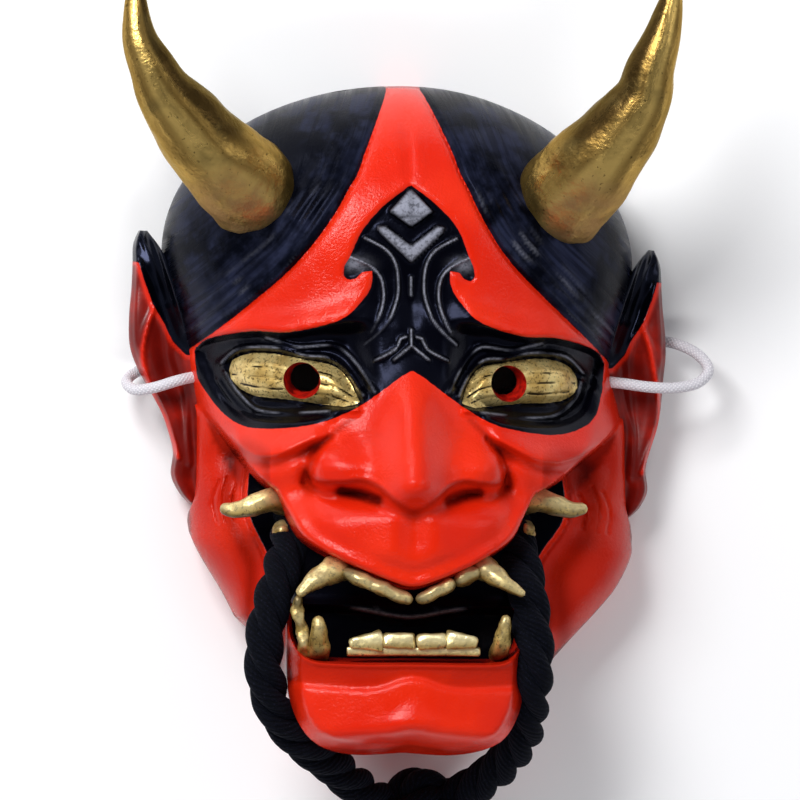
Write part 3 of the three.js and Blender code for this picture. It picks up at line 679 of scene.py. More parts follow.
CHEEKBONE = spline([(73.5, -17), (63.3, -28.4), (51, -40.6), (44.2, -45.2)])
UPPER_FACE = mirrored(np.vstack([[(0, 130), (110, 130), (110, -6)], CHEEKBONE, [(38, -47), (0, -47)]]))
MUZZLE_EDGE = spline([(44.2, -45.2), (40.3, -53), (35, -61.5), (23.3, -68.8), (15.5, -72.4), (8, -75.4),
                      (3, -77.1), (0, -77.4)])
MUZZLE = mirrored(np.vstack([[(0, -38), (40, -38)], MUZZLE_EDGE]))
FLANGE_INNER = spline([(54.2, -38), (54.5, -53), (46.5, -68), (45.4, -78), (46.6, -88), (48, -102)])
FLANGE = np.vstack([FLANGE_INNER, [(110, -120), (110, -6), (73, -10)]])
LOWER_LIP = spline([(39, -84), (38.2, -95), (33.4, -101.2), (22, -102.3), (0, -102.3)])
CHIN_FRONT = mirrored(np.vstack([LOWER_LIP[::-1], [(46, -84), (46, -120), (38, -140), (0, -140)]]))
HAIR_EDGE = spline([(5.8, 92.4), (14, 72.7), (21.9, 53.5), (35.5, 34), (52.9, 17.4), (71.5, 1.7)])
HAIR = np.vstack([HAIR_EDGE, [(76, -3), (110, -3), (110, 140), (5.8, 140)]])
BROW_EDGE = spline([(70.2, 0.9), (66, 5.4), (52.2, 8.6), (39.4, 8.8), (23, 13.6), (13.7, 22.6), (12.3, 30.2)])
HOOK = np.array([(15.4, 29.8), (17.4, 27.6), (19.8, 26.8), (21.6, 28.2), (21.3, 31.5)])
CREST_EDGE = spline([(19.1, 35.5), (15.4, 43.9), (8.8, 52.1), (0, 59.5)])
SOCKET_FLOOR_EDGE = spline([(3.9, -5.9), (18, -16), (32.3, -22.4), (52, -24.3), (63.2, -19.4), (69, -8.6)])
SOCKET = mirrored(np.vstack([[(0, -3.6)], SOCKET_FLOOR_EDGE, BROW_EDGE, HOOK, CREST_EDGE]))
EYE = np.vstack([
    spline([(59.2, -5.4), (57.6, -1.6), (52, 0.8), (44, 1.0), (32.6, -0.9), (25, -2.6), (20.6, -7.4),
            (17.6, -14.7)]),
    spline([(22.6, -15.9), (39.2, -13.9), (50, -13.2), (56, -11), (58.8, -8)])])
UPPER_LID = spline([(61.8, -2.6), (56.4, 2.2), (49, 3.4), (42, 3.0), (34.5, 1.0), (27.4, 0.6), (22.6, -2.2),
                    (18.8, -7.6), (16.4, -12)])
UPPER_FOLD = spline([(47, 6.6), (41, 5.0), (36, 3.8), (30, 4.4), (25.3, 4.6), (21.8, 2.6), (17.9, -2),
                     (15.2, -6.4), (12.6, -11)])
LOWER_LID = spline([(60.6, -6), (58, -11.4), (53, -16.6), (48.6, -18.4), (41, -18.8), (33, -18.2),
                    (26, -17.6), (18.6, -17)])
LOWER_FOLD = spline([(63.8, -9), (60, -15.6), (54, -20.4), (46, -22), (36, -21.6), (26, -19.6)])
NOSE_RIM = spline([(30, -29), (33.4, -37.4), (31, -41.2), (24, -41.8), (18, -41), (12.7, -42.6), (7.4, -47.2),
                   (3, -50.4), (0, -51)])
NOSE = mirrored(np.vstack([[(0, 2), (10, -2), (20, -20)], NOSE_RIM]))
NOSE_BASE = mirrored(np.vstack([
    [(0, 4), (12, 0), (23, -20), (32, -28), (35, -37)],
    spline([(33.4, -42.4), (28.2, -47), (18.4, -48.2), (10.4, -52), (3.4, -55), (0, -55.6)])]))
NOSTRIL = spline([(12, -47.6), (15.6, -46.6), (19.6, -45.4), (23.4, -44.6)])
NOSE_FOOT = spline([(33.4, -43), (28.2, -47.6), (18.4, -48.8), (10.4, -52.6), (3.4, -55.6), (0, -56.2)])
WING_CREASE = spline([(27, -26.5), (30.8, -30.6), (32.6, -36), (34.4, -42)])
CHEEK_FOLD = spline([(62, -26.9), (57, -31), (51.5, -33.2), (45, -32.8), (39.9, -30.8), (32, -27),
                     (25.8, -24.5)])
DIAMOND = mirrored([(0, 59.2), (7.8, 50.2), (0, 44.4)])
CHEVRON = mirrored([(0, 39.4), (8.2, 46.0), (11.4, 45.4), (10.4, 42.8), (0, 32.2)])
RIBS, EYE_LINES, WRINKLES, NOSE_LINES = ([spline(points) for points in group] for group in (
    [
        [(14.6, 41.3), (8, 37.4), (5, 32.8), (4.1, 27), (4.4, 21), (7, 14), (11, 9.2), (15.7, 5.2)],
        [(19.3, 34.7), (15.3, 33.1), (12, 31), (9.6, 27.8), (8.7, 23), (9.1, 18.4), (11, 13.8), (13.6, 9.4)],
        [(0, 10.2), (0, 4.8)],
        [(0, 4.8), (3, 2.4), (6, 0)],
        [(1.8, 7.8), (3.6, 7.2), (5.2, 3.8), (8.6, 1.6), (12.4, -0.2)],
        [(0, 28), (0, 22)],
    ], [
        [(42, -4.2), (49, -3.4), (56.4, -3.8)],
        [(42, -7.4), (50, -6.6), (58.4, -6.4)],
        [(41.6, -10.6), (48, -10.6), (56, -9.4)],
        [(19.6, -12.6), (24, -9.8), (29.4, -8.4)],
        [(21.4, -8.0), (25.6, -5.6), (30.2, -4.4)],
        [(21, -14.4), (26, -12.6), (31, -12)],
    ], [
        [(62.4, -41.6), (64.6, -49), (63.6, -57)],
        [(65.6, -43), (68, -50), (66.8, -57.4)],
        [(58.6, -44), (60.4, -50), (59.6, -56)],
    ], [
        [(20.6, -25.4), (15.6, -23.8), (10.8, -26.6)],
        [(22.4, -27.4), (16, -26.4), (12, -29.4)],
    ]))
TONGUE_EDGE = spline([(20, -84.5), (15, -85.1), (10, -86.1), (5, -87.1), (0, -87.6)])
LIP_CREASE = spline([(39, -110.4), (26, -111.4), (15, -111.6), (9, -110.4), (4.4, -108.6), (0, -107.8)])


# Heights and depths of the carving against what is round it
RIDGE_RISE = 25
TIP_RISE = 2.8
WING_RISE = 10
NOSTRIL_DEPTH = 4.6
CHEEK_RISE = 6.5
SOCKET_DROP = 8.5
EYE_RISE = 4.4
CHEVRON_RISE = 2.3
RIB_RISE = 1.5
RIB_WIDTH = 0.62
HAIR_STEP = 1.1
HAIRLINE_DEPTH = 1.5
COMB_DEPTH = 0.5
FLANGE_RISE = 28
LIP_FALL = 18
CHIN_FALL = 8
UNDERSIDE_DROP = 30
FACE_HALF_WIDTH = 73.4

# Swells and dips of the carving: the middle, then the reach across and along
NOSE_TIP = (0, -47.4, 8, 6.5)
NOSE_WING = (23.5, -37.5, 11, 9.5)
WING_PIT = (34.5, -42, 3.2, 8)
HOOK_KNOB = (17, 32.6, 3.4, 2.2)
CREST_DIP = (0, 18, 2.6, 9)
CHEEK_BALL = (43, -35, 17, 11)
FLANGE_DIP = (60, -34, 8, 9)
LIP_SIDE = (27, -58, 9, 6)
EYE_RIDGES = ((UPPER_LID, 2.7, 1.15), (LOWER_LID, 2.5, 1.25), (UPPER_FOLD, 1.7, 1.1), (LOWER_FOLD, 1.5, 1.3))
HAIR_PITCH = 3.5


def skull(ax, y):
    """The round of the head that all the carving stands on"""
    above = np.maximum(0, y - DOME_CENTRE_Y) / DOME_LENGTH
    below = mix(FACE_HALF_WIDTH, DOME_HALF_WIDTH, smooth(0, 34, y))
    width = np.where(y > DOME_CENTRE_Y, DOME_HALF_WIDTH, below)
    reach = np.minimum(1, np.hypot(ax / width, above))
    crown = DOME_HEIGHT + 5 * smooth(34, -30, y)
    return EDGE_HEIGHT + (crown - EDGE_HEIGHT) * (1 - reach ** 2.4) ** 0.55


def nose_height(ax, y):
    ridge = RIDGE_RISE * smooth(2, -48, y) ** 0.8 * bell(ax, mix(7.5, 13, smooth(0, -42, y)))
    tip = TIP_RISE * bump(ax, y, *NOSE_TIP)
    wing = WING_RISE * bump(ax, y, *NOSE_WING)
    rim = depth(NOSE, ax, y)
    base = np.maximum(depth(NOSE_BASE, ax, y), 0)
    underside = base / np.maximum(base - np.minimum(rim, 0), 0.01)
    edge = 0.7 * bell(rim - 0.9, 1.0) * smooth(32, 27, ax) * smooth(-30, -40, y)
    hole = NOSTRIL_DEPTH * by_line(NOSTRIL, ax, y, 1.6)
    foot = by_line(NOSE_FOOT, ax, y, 1.1)
    return (ridge + wing + tip) * smooth(-0.08, 1.08, underside) + edge - hole - foot


def rib_share(ax, y, x):
    """The ribs fade out below, sooner on the viewer's left"""
    return 1 - np.where(x < 0, 0.92, 0.4) * smooth(17, 12, y) * (y > 4.4) * (ax > 5)


def crest(ax, y, x, socket):
    """Carving between the brows and on the sunk black round the eyes"""
    facets = 1.0 + 2.4 * np.clip((59.2 - y) / 7.7, 0, 1) - 1.3 * np.clip((51.5 - 0.12 * ax - y) / 7, 0, 1)
    z = facets * smooth(0, 0.8, depth(DIAMOND, ax, y))
    z += CHEVRON_RISE * smooth(-0.2, 1.1, depth(CHEVRON, ax, y))
    share = rib_share(ax, y, x)
    for rib in RIBS:
        z += RIB_RISE * share * by_line(rib, ax, y, RIB_WIDTH)
    z += 1.5 * bump(ax, y, *HOOK_KNOB) - 1.2 * bump(ax, y, *CREST_DIP)
    return z * smooth(-0.5, 1.6, socket)


def eye_relief(ax, y):
    ball = depth(EYE, ax, y)
    z = EYE_RISE * smooth(-0.7, 4.6, ball) - 1.3 * bell(ball + 0.5, 0.7)
    for path in EYE_LINES:
        z -= 0.45 * by_line(path, ax, y, 0.35)
    for path, height, width in EYE_RIDGES:
        z += height * by_line(path, ax, y, width)
    return z


def strand_sway(away, x, y):
    """Distance from the hairline that wanders a little, as combed strands do"""
    return away - 0.8 * ripple(x, y, 38, 1.1) - 0.03 * (y - 40)


def strand_wave(sway, start):
    return np.cos(2 * math.pi * (sway - start) / HAIR_PITCH)


def hair_relief(ax, y, x):
    """Grooves that follow the hairline, and the step up to the hair"""
    inside = depth(HAIR, ax, y)
    away = line_distance(HAIR_EDGE, ax, y)
    fade = smooth(70, 50, y) * smooth(-2, 10, y)
    z = HAIR_STEP * smooth(-0.4, 1.8, inside) * smooth(-2, 12, y)
    z -= HAIRLINE_DEPTH * bell(away, 0.9)
    sway = strand_sway(away, x, y)
    strands = COMB_DEPTH * strand_wave(sway, 2.4) * smooth(0.4, 2.4, away) * smooth(18, 9, sway)
    z += strands * (inside > 0) * fade
    lumps = 0.5 * ripple(x, y, 19, 2.6) + 0.16 * ripple(x, y, 7.5, 1.2)
    return z + lumps * smooth(4, 14, inside)


def fold_depth(ax, y):
    """How far below the cheek's fold a point is"""
    return np.interp(ax, CHEEK_FOLD[::-1, 0], CHEEK_FOLD[::-1, 1]) - y


def crease_height(ax):
    return np.interp(ax, LIP_CREASE[::-1, 0], LIP_CREASE[::-1, 1])


def socket_depth(ax, y, x):
    """Depth inside the sunk black round the eyes, which reaches further out on the viewer's left"""
    return depth(SOCKET, ax + SOCKET_SHIFT * np.sign(x) * smooth(44, 58, ax) * smooth(2, -12, y), y)


def upper_face(ax, y, x):
    z = skull(ax, y)
    socket = socket_depth(ax, y, x)
    under_brow = smooth(14, 8, y) * smooth(10, 22, ax)
    lower_slope = smooth(0, 10, 10 - line_distance(SOCKET_FLOOR_EDGE, ax, y))
    z += 3 * bell(socket, 6) * smooth(-6, 8, y) * smooth(26, 14, y) * smooth(8, 20, ax)
    z -= 1.6 * smooth(-STEP, STEP, socket) * smooth(10, 20, y)
    z -= SOCKET_DROP * under_brow * smooth(-STEP, mix(2.5, 8, lower_slope), socket)
    z += eye_relief(ax, y) + crest(ax, y, x, socket) + hair_relief(ax, y, x)
    z += CHEEK_RISE * bump(ax, y, *CHEEK_BALL)
    below = fold_depth(ax, y)
    fold = 3.0 * np.where(below < 0, bell(below, 5.0), bell(below, 1.3)) - 2.2 * bell(below - 3.8, 2.0)
    z += fold * smooth(24, 32, ax) * smooth(66, 58, ax)
    z -= 2.6 * by_line(WING_CREASE, ax, y, 1.4)
    z -= 3.5 * bump(ax, y, *WING_PIT)
    for path in NOSE_LINES:
        z -= 0.35 * by_line(path, ax, y, 0.5)
    z -= 1.2 * bell(x - 1.5, 1.3) * smooth(59, 64, y) * smooth(88, 80, y)
    z += 0.9 * bell(x - 4.2, 1.2) * smooth(60, 64, y) * smooth(84, 76, y)
    return z + nose_height(ax, y)


def flange(ax, y):
    side = np.interp(y, SIDE[::-1, 1], SIDE[::-1, 0]) + 0.6
    reach = np.minimum(1, ax / np.where(y > -57, SIDE_REACH, np.minimum(SIDE_REACH, side)))
    fall = np.sqrt(1 - reach ** mix(5, 8, smooth(-50, -70, y)))
    z = EDGE_HEIGHT + FLANGE_RISE * fall - 6 * bump(ax, y, *FLANGE_DIP)
    for path in WRINKLES:
        z -= 0.9 * by_line(path, ax, y, 0.5)
    inner = line_distance(FLANGE_INNER, ax, y)
    return z + 1.6 * bell(inner - 1.6, 1.8) + 1.2 * bell(inner - 9, 5) * smooth(-90, -60, y)


def muzzle(ax, y):
    fall = LIP_FALL * (ax / LIP_HALF_WIDTH) ** 2
    tuck = 4 * smooth(-64, -78, y)
    edge = line_distance(MUZZLE_EDGE, ax, y)
    lip = 1.3 * bell(edge - 2.2, 1.7) - 0.5 * bell(edge - 5.4, 1.8)
    philtrum = 1.8 * bell(ax, 3.6) * smooth(-70, -61, y) - 0.9 * bell(ax - 8, 4) * smooth(-72, -64, y)
    side = 1.6 * bump(ax, y, *LIP_SIDE)
    return MUZZLE_HEIGHT - fall - tuck + lip - philtrum + side


def chin(ax, y):
    fall = CHIN_FALL * (ax / LIP_HALF_WIDTH) ** 2
    spread = mix(2.6, 13, smooth(-116, -128, y))
    pad = 2.0 * bell(ax, spread) * smooth(-114, -123.5, y) * smooth(-132, -126, y)
    above = y - crease_height(ax)
    fold = -1.3 * smooth(-1.8, 0.9, above) * smooth(9, 2, above)
    lip = 1.1 * by_line(LOWER_LIP, ax, y, 1.0, 1.3)
    turn = -125.2 - 0.09 * ax + 0.8 * bell(ax, 9)
    underside = UNDERSIDE_DROP * smooth(0, -10.5, y - turn) + 1.2 * smooth(1.5, -0.5, y - turn)
    edge = 9 * (1 - smooth(0, 5, depth(SILHOUETTE, ax, y)))
    return CHIN_HEIGHT - fall + pad + fold + lip - underside - edge


def front(x, y):
    """Height of the cast's front above the surface it lies on"""
    ax = from_middle(x, y)
    tongue = 6 * smooth(-86, -83.6, y + 3.4 * bell(ax, 13))
    floor = MOUTH_FLOOR + tongue - 2.2 * smooth(-84, -80, y)
    z = mix(floor, CORNER_FLOOR, smooth(36, 43, ax))
    z = mix(z, flange(ax, y), smooth(-STEP, STEP, depth(FLANGE, ax, y)))
    upper = upper_face(ax, y, x)
    z = mix(z, upper, smooth(-STEP, STEP, depth(UPPER_FACE, ax, y)))
    lip = mix(upper, np.maximum(muzzle(ax, y), CORNER_FLOOR), smooth(-41, -55, y))
    z = mix(z, lip, smooth(-STEP, STEP, depth(MUZZLE, ax, y)))
    z = mix(z, chin(ax, y), smooth(-STEP, STEP, depth(CHIN_FRONT, ax, y)))
    return z + 0.16 * ripple(x, y, 21, 0.4) + 0.07 * ripple(x, y, 8.3, 1.9)


SHADE_PITCH = 1.5
SHADE_STEPS = 6
SHADE_WIDTH = 4.6
SHADE_AREA = ((-84.0, -141.0), (84.1, 99.1))


def hollows(x, y):
    """How far each point lies below its surroundings, up to about 6 mm away"""
    low, high = SHADE_AREA
    across, up = np.meshgrid(*(np.arange(low[k], high[k], SHADE_PITCH) for k in (0, 1)))
    height = front(across, up)
    weights = bell(np.arange(-SHADE_STEPS, SHADE_STEPS + 1) * SHADE_PITCH, SHADE_WIDTH)
    weights /= weights.sum()

    def softened(row):
        return np.convolve(np.pad(row, SHADE_STEPS, "edge"), weights, "valid")

    soft = height
    for axis in (0, 1):
        soft = np.apply_along_axis(softened, axis, soft)
    depths = soft - height
    u, v = (x - low[0]) / SHADE_PITCH, (y - low[1]) / SHADE_PITCH
    i, j = (np.clip(place.astype(int), 0, depths.shape[k] - 2) for place, k in ((u, 1), (v, 0)))
    near, far = (mix(depths[j + k, i], depths[j + k, i + 1], u - i) for k in (0, 1))
    return mix(near, far, v - j)


def painted_shade_field(x, y, ax):
    """Painted shade: darker red in the nostrils, folds and hollows, under the lips, on the flanges and down
    the sides of the chin
    """
    wash = mix(0.25, 0.5, smooth(6, -6, x)) * by_line(NOSTRIL, ax, y, 1.6)
    wash += 0.35 * smooth(1.8, 0, np.abs(depth(NOSE, ax, y))) * (y < -20) * (y > -53)
    wash += 0.26 * smooth(0, 9, depth(FLANGE, ax, y)) + 0.3 * by_line(FLANGE_INNER, ax, y, 3, 7) * (ax > 46)
    wash += 0.25 * bell(fold_depth(ax, y) - 3.2, 1.8) * smooth(28, 34, ax) * smooth(62, 54, ax)
    under_lip = smooth(0.6, -1, crease_height(ax) + 0.8 - y) * (y < -98)
    wash += 0.34 * under_lip * smooth(-0.2, 1.6, depth(CHIN_FRONT, ax, y))
    chin_side = smooth(2.4, 0.4, depth(SILHOUETTE, ax, y)) * (ax < 45)
    wash += 0.4 * chin_side * smooth(-84, -88, y) * smooth(-128, -118, y)
    wash += 0.5 * smooth(0.25, 2.6, hollows(x, y))
    return np.clip(wash, 0, 0.9)


def painted_highlight_field(x, y, ax, hair, away):
    """Painted highlights in light grey on the black: the crest, the lids' edges, the tongue's edge and the
    combed hair
    """
    rib = rib_share(ax, y, x) * np.max([by_line(path, ax, y, 0.3) for path in RIBS], axis=0)
    tongue = by_line(TONGUE_EDGE, ax, y, 0.5) * smooth(21, 15, ax)
    # The diamond's painted highlight is broken by a painted shade line across it and is fainter right on the
    # middle
    diamond = smooth(0.4, 1.5, depth(DIAMOND, ax, y)) * (1 - 0.6 * bell(y - 48.4 - 0.14 * ax, 0.6))
    plates = np.maximum(diamond * mix(0.75, 1.1, smooth(0, 2, ax)), smooth(0.3, 1.3, depth(CHEVRON, ax, y)))
    knob = bump(ax, y, 17.4, 32.4, 3.6, 2.0)
    worn = np.max([0.95 * rib * smooth(-2, 2, y), 0.75 * plates, 0.55 * knob, tongue], axis=0)
    patches = smooth(-0.4, 0.5, ripple(x, y, 15, 0.9))
    for path, share in ((UPPER_LID, 0.6), (UPPER_FOLD, 0.5), (LOWER_LID, 0.5)):
        worn = np.maximum(worn, share * patches * by_line(path, ax, y, 0.32))
    sway = strand_sway(away, x, y)
    combed = smooth(0.1, 1.0, strand_wave(sway, 2.1)) * smooth(1.2, 2.6, away) * smooth(15, 8, sway)
    combed *= smooth(-0.1, 0.7, ripple(x, y, 23, 2.9)) * smooth(62, 50, y) * smooth(6, 16, y)
    return np.maximum(worn, 0.24 * combed * (hair > 0))


def paint_fields(points):
    """For each paint the signed distance to its edge in millimetres, positive inside, with the painted shade
    and painted highlights laid over them
    """
    x, y = points[:, 0], points[:, 1]
    ax = from_middle(x, y)
    hair = depth(HAIR, ax, y)
    away = line_distance(HAIR_EDGE, ax, y)
    solid = np.max([depth(outline, ax, y) for outline in (UPPER_FACE, MUZZLE, CHIN_FRONT, FLANGE)], axis=0)
    scratches = np.max([by_line(path, ax, y, 0.4) for path in EYE_LINES], axis=0)
    return {
        "black": np.max([hair, socket_depth(ax, y, x), -solid - 0.8], axis=0),
        "gold": depth(EYE, ax, y) + 0.2,
        "hair": np.minimum(hair, 3),
        "strand": away * 0.55 + 0.25 * ripple(x, y, 40, 0.7),
        "along": np.hypot(ax, y - 100) * 0.035 + np.sign(x) * 9,
        "wash": painted_shade_field(x, y, ax),
        "line": scratches * smooth(-0.7, 0.5, ripple(x, y, 11, 0.3)),
        "worn": painted_highlight_field(x, y, ax, hair, away),
    }


# The cast body: a fine front over the outline, walls down to the rim, a hollow behind

FIELD_PITCH = 2.0
STEP_EDGES = ((CHEEKBONE, UPPER_FACE), (FLANGE_INNER, FLANGE), (MUZZLE_EDGE, MUZZLE), (LOWER_LIP, CHIN_FRONT))
STEP_ROWS = STEP * np.arange(-1.0, 2.1, 0.5)
FINE_LINES = (NOSE_RIM, NOSE_FOOT, WING_CREASE, CHEEK_FOLD, UPPER_LID, LOWER_LID, UPPER_FOLD, LOWER_FOLD,
              LIP_CREASE, TONGUE_EDGE, *RIBS, *WRINKLES, *EYE_LINES)
CARVED_LINES = (NOSE_RIM, CHEEK_FOLD, LIP_CREASE)
HOLLOW_PITCH = 2.4
PUPILS = [np.array([side * EYE_X, EYE_Y]) for side, word in SIDES]
PUPIL_BACKS = [pupil + [side * -1.5, 1.0] for pupil, (side, word) in zip(PUPILS, SIDES)]
PUPIL_BACK_RADIUS = 4.9
PUPIL_COLLAR = 4
ROUNDS = 3
EDGE_LENGTHS = (0.6, 1.0, 1.6, 2.7)
OVERLONG = 1.35
MERGE_WITHIN = 0.12
SLIVER = 0.07
OUTER_RINGS = 7
INNER_RINGS = 3
DIRECTIONS = 12
WALL_REACHES = (3.5, 7.5)
LOWEST_HOLLOW = 9


def trimmed_grid(bm, outline, pitch, pupils, radius):
    """A grid cut to an outline, with round holes at the pupils and its edge on the outline"""
    low, high = outline.min(0) - pitch, outline.max(0) + pitch
    columns, rows = (np.ceil((high - low) / pitch)).astype(int)
    verts = bmesh.ops.create_grid(bm, x_segments=int(columns), y_segments=int(rows), size=0.5)["verts"]
    bmesh.ops.scale(bm, vec=(columns * pitch, rows * pitch, 1), verts=verts)
    bmesh.ops.translate(bm, vec=((low[0] + high[0]) / 2, (low[1] + high[1]) / 2, 0), verts=verts)
    faces = list({face for vert in verts for face in vert.link_faces})
    centre = np.array([face.calc_center_median() for face in faces])[:, :2]
    gone = depth(outline, centre[:, 0], centre[:, 1]) < 0
    for pupil in pupils:
        gone |= np.linalg.norm(centre - pupil, axis=1) < radius
    bmesh.ops.delete(bm, geom=[face for face, out in zip(faces, gone) if out], context="FACES")
    verts = [vert for vert in verts if vert.is_valid and vert.link_faces]
    snap_edges(verts, outline, pupils, radius)
    return verts


def snap_edges(verts, outline, pupils, radius):
    border = [vert for vert in verts if vert.is_boundary]
    points = places(border)[:, :2]
    there = nearest_on(outline, points)
    for pupil in pupils:
        away = points - pupil
        distance = np.linalg.norm(away, axis=1)
        near = distance < radius + PUPIL_COLLAR
        there[near] = pupil + away[near] / distance[near][:, None] * radius
    for vert, point in zip(border, there):
        vert.co.x, vert.co.y = point


def closest(paths, ax, y):
    return np.min([line_distance(path, ax, y) for path in paths], axis=0)


def wanted_length(x, y):
    """How long an edge may be: short by the steps and the fine lines, longer on plain ground"""
    ax = from_middle(x, y)
    steps = [edge[0] for edge in STEP_EDGES]
    finest = (closest(steps, ax, y) < 3.0) | (closest(FINE_LINES, ax, y) < 1.6)
    face = (ax < 66) & (y > -26) & (y < 12) | (ax < 23) & (y >= 12) & (y < 61)
    combed = (depth(HAIR, ax, y) > -2) & (line_distance(HAIR_EDGE, ax, y) < 16)
    fine = face | combed | (closest(CARVED_LINES, ax, y) < 5)
    middle = (ax < 62) & (y > -136) & (y < 20)
    return np.select([finest, fine, middle], EDGE_LENGTHS[:3], EDGE_LENGTHS[3])


def snap_steps(bm, verts):
    """Sets vertices in rows along each step of the carving, so that its edges run clean"""
    verts = [vert for vert in verts if not vert.is_boundary]
    for path, outline in STEP_EDGES:
        points = places(verts)[:, :2]
        x, y = points[:, 0], points[:, 1]
        ax = from_middle(x, y)
        here = np.stack([ax, y], axis=1)
        there = nearest_on(path, here, closed=False)
        away = here - there
        distance = np.maximum(np.linalg.norm(away, axis=1), 1e-6)
        side = np.sign(depth(outline, ax, y) + 1e-9)
        row = STEP_ROWS[np.argmin(np.abs(STEP_ROWS - (side * distance)[:, None]), axis=1)]
        near = (np.abs(row - side * distance) < STEP / 4) & (distance > 1e-3)
        moved = there + away * (side * row / distance)[:, None]
        sign = np.sign(x - middle_offset(x, y))
        for index in np.flatnonzero(near):
            verts[index].co.x += sign[index] * (moved[index, 0] - ax[index])
            verts[index].co.y = moved[index, 1]
    raise_to(verts, front)
    bmesh.ops.remove_doubles(bm, verts=verts, dist=MERGE_WITHIN)
    bmesh.ops.dissolve_degenerate(bm, edges=list(bm.edges), dist=SLIVER)


def raise_to(verts, height):
    points = places(verts)
    for vert, z in zip(verts, height(points[:, 0], points[:, 1])):
        vert.co.z = z


def refined(bm, verts):
    for _ in range(ROUNDS):
        raise_to(verts, front)
        edges = list(bm.edges)
        ends = np.array([[edge.verts[0].co, edge.verts[1].co] for edge in edges])
        middle = ends.mean(1)
        length = np.linalg.norm(ends[:, 0] - ends[:, 1], axis=1)
        long = length > wanted_length(middle[:, 0], middle[:, 1]) * OVERLONG
        split = [edge for edge, yes in zip(edges, long) if yes]
        bmesh.ops.subdivide_edges(bm, edges=split, cuts=1, use_grid_fill=True)
        verts = list(bm.verts)
        snap_edges(verts, SILHOUETTE, PUPILS, PUPIL_RADIUS)
    raise_to(verts, front)
    snap_steps(bm, verts)
    return list(bm.verts)


def loops_of(verts):
    """The border edges of some vertices: the outline's, and each pupil's"""
    edges = border_of(verts)
    middle = np.array([(edge.verts[0].co + edge.verts[1].co) / 2 for edge in edges])[:, :2]
    groups = []
    outer = np.ones(len(edges), bool)
    for pupil in PUPILS:
        near = np.linalg.norm(middle - pupil, axis=1) < PUPIL_RADIUS + 1
        groups.append([edge for edge, yes in zip(edges, near) if yes])
        outer &= ~near
    return [edge for edge, yes in zip(edges, outer) if yes], groups


def rim_lift(x, y):
    return CORD_ARCH * bump(0, y, 0, -3, 1, 13) * smooth(50, 66, np.abs(x))


def draw_down(bm, edges, foot_at, rings):
    """Walls from an edge down to the rim in a few rings; gives the rim's edges"""
    feet = {}
    for left in range(rings, 0, -1):
        made = bmesh.ops.extrude_edge_only(bm, edges=edges)["geom"]
        edges = [item for item in made if isinstance(item, bmesh.types.BMEdge) and item.is_boundary]
        fresh = {}
        for vert in {vert for edge in edges for vert in edge.verts}:
            top = vert.co.copy().freeze()
            foot = feet[top] if feet else foot_at(top.x, top.y)
            vert.co = top.lerp(Vector(foot), 1 / left)
            fresh[vert.co.copy().freeze()] = foot
        feet = fresh
    return edges


def outer_foot(x, y):
    foot_y = y * RIM_DRAFT + CHIN_TUCK * float(smooth(-104, -134, y))
    return (x * RIM_DRAFT, foot_y, float(rim_lift(x * RIM_DRAFT, foot_y)))


def inner_foot(x, y):
    return (x, y, float(rim_lift(x, y)))


def hollow_height(x, y):
    lowest = front(x, y)
    for angle in np.arange(DIRECTIONS) * math.pi / (DIRECTIONS / 2):
        for reach in WALL_REACHES:
            lowest = np.minimum(lowest, front(x + reach * math.cos(angle), y + reach * math.sin(angle)))
    return np.maximum(lowest - WALL, LOWEST_HOLLOW)


def cast_body():
    bm = bmesh.new()
    verts = refined(bm, trimmed_grid(bm, SILHOUETTE, FIELD_PITCH, PUPILS, PUPIL_RADIUS))
    outer, pupils = loops_of(verts)
    rim = draw_down(bm, outer, outer_foot, OUTER_RINGS)
    outside = set(bm.faces)
    hollow = trimmed_grid(bm, RIM_INSIDE, HOLLOW_PITCH, PUPIL_BACKS, PUPIL_BACK_RADIUS)
    raise_to(hollow, hollow_height)
    inner, inner_pupils = loops_of(hollow)
    inner_rim = draw_down(bm, inner, inner_foot, INNER_RINGS)
    for face in bm.faces:
        if face not in outside:
            face.material_index = 1
    bmesh.ops.triangle_fill(bm, use_beauty=True, use_dissolve=False, edges=rim + inner_rim, normal=(0, 0, -1))
    for a, b in zip(pupils, inner_pupils):
        for face in bmesh.ops.bridge_loops(bm, edges=a + b)["faces"]:
            face.material_index = 2
    finishes = [lacquer(), bare_inside(), pupil_red()]
    piece = made_object("mask_cast", bm, finishes, fields=paint_fields, warped=True)
    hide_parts("mask")


cast_body()


# Horns

HORN_SIDES = 80
HORN_ROOT = 20
HORN_POINT = 2.2
HORN_LEFT_RADII = [16.6, 16.2, 14.8, 12.8, 10.3, 8.0, 6.1, 4.7, 3.5, 1.4]
HORN_RIGHT_RADII = [16.6, 16.6, 15.4, 12.6, 10.0, 8.3, 6.8, 5.2, 3.7, 1.4]
HORN_LEFT = [(-45, 50, 38), (-54, 60, 58), (-65, 69.6, 68), (-74.6, 80.6, 75), (-82, 90, 79),
             (-86.8, 99, 82), (-90.7, 108, 83), (-92, 116, 83), (-92.4, 123, 82.5), (-92.6, 129.4, 82)]
HORN_RIGHT = [(48, 47.6, 38), (57, 58.6, 58), (65.6, 68.4, 68), (74, 79, 75), (80.2, 89.5, 79),
              (82.4, 98.5, 82), (85.6, 107.5, 83), (88, 116, 83), (89.6, 123, 82.5), (90.4, 129.4, 82)]


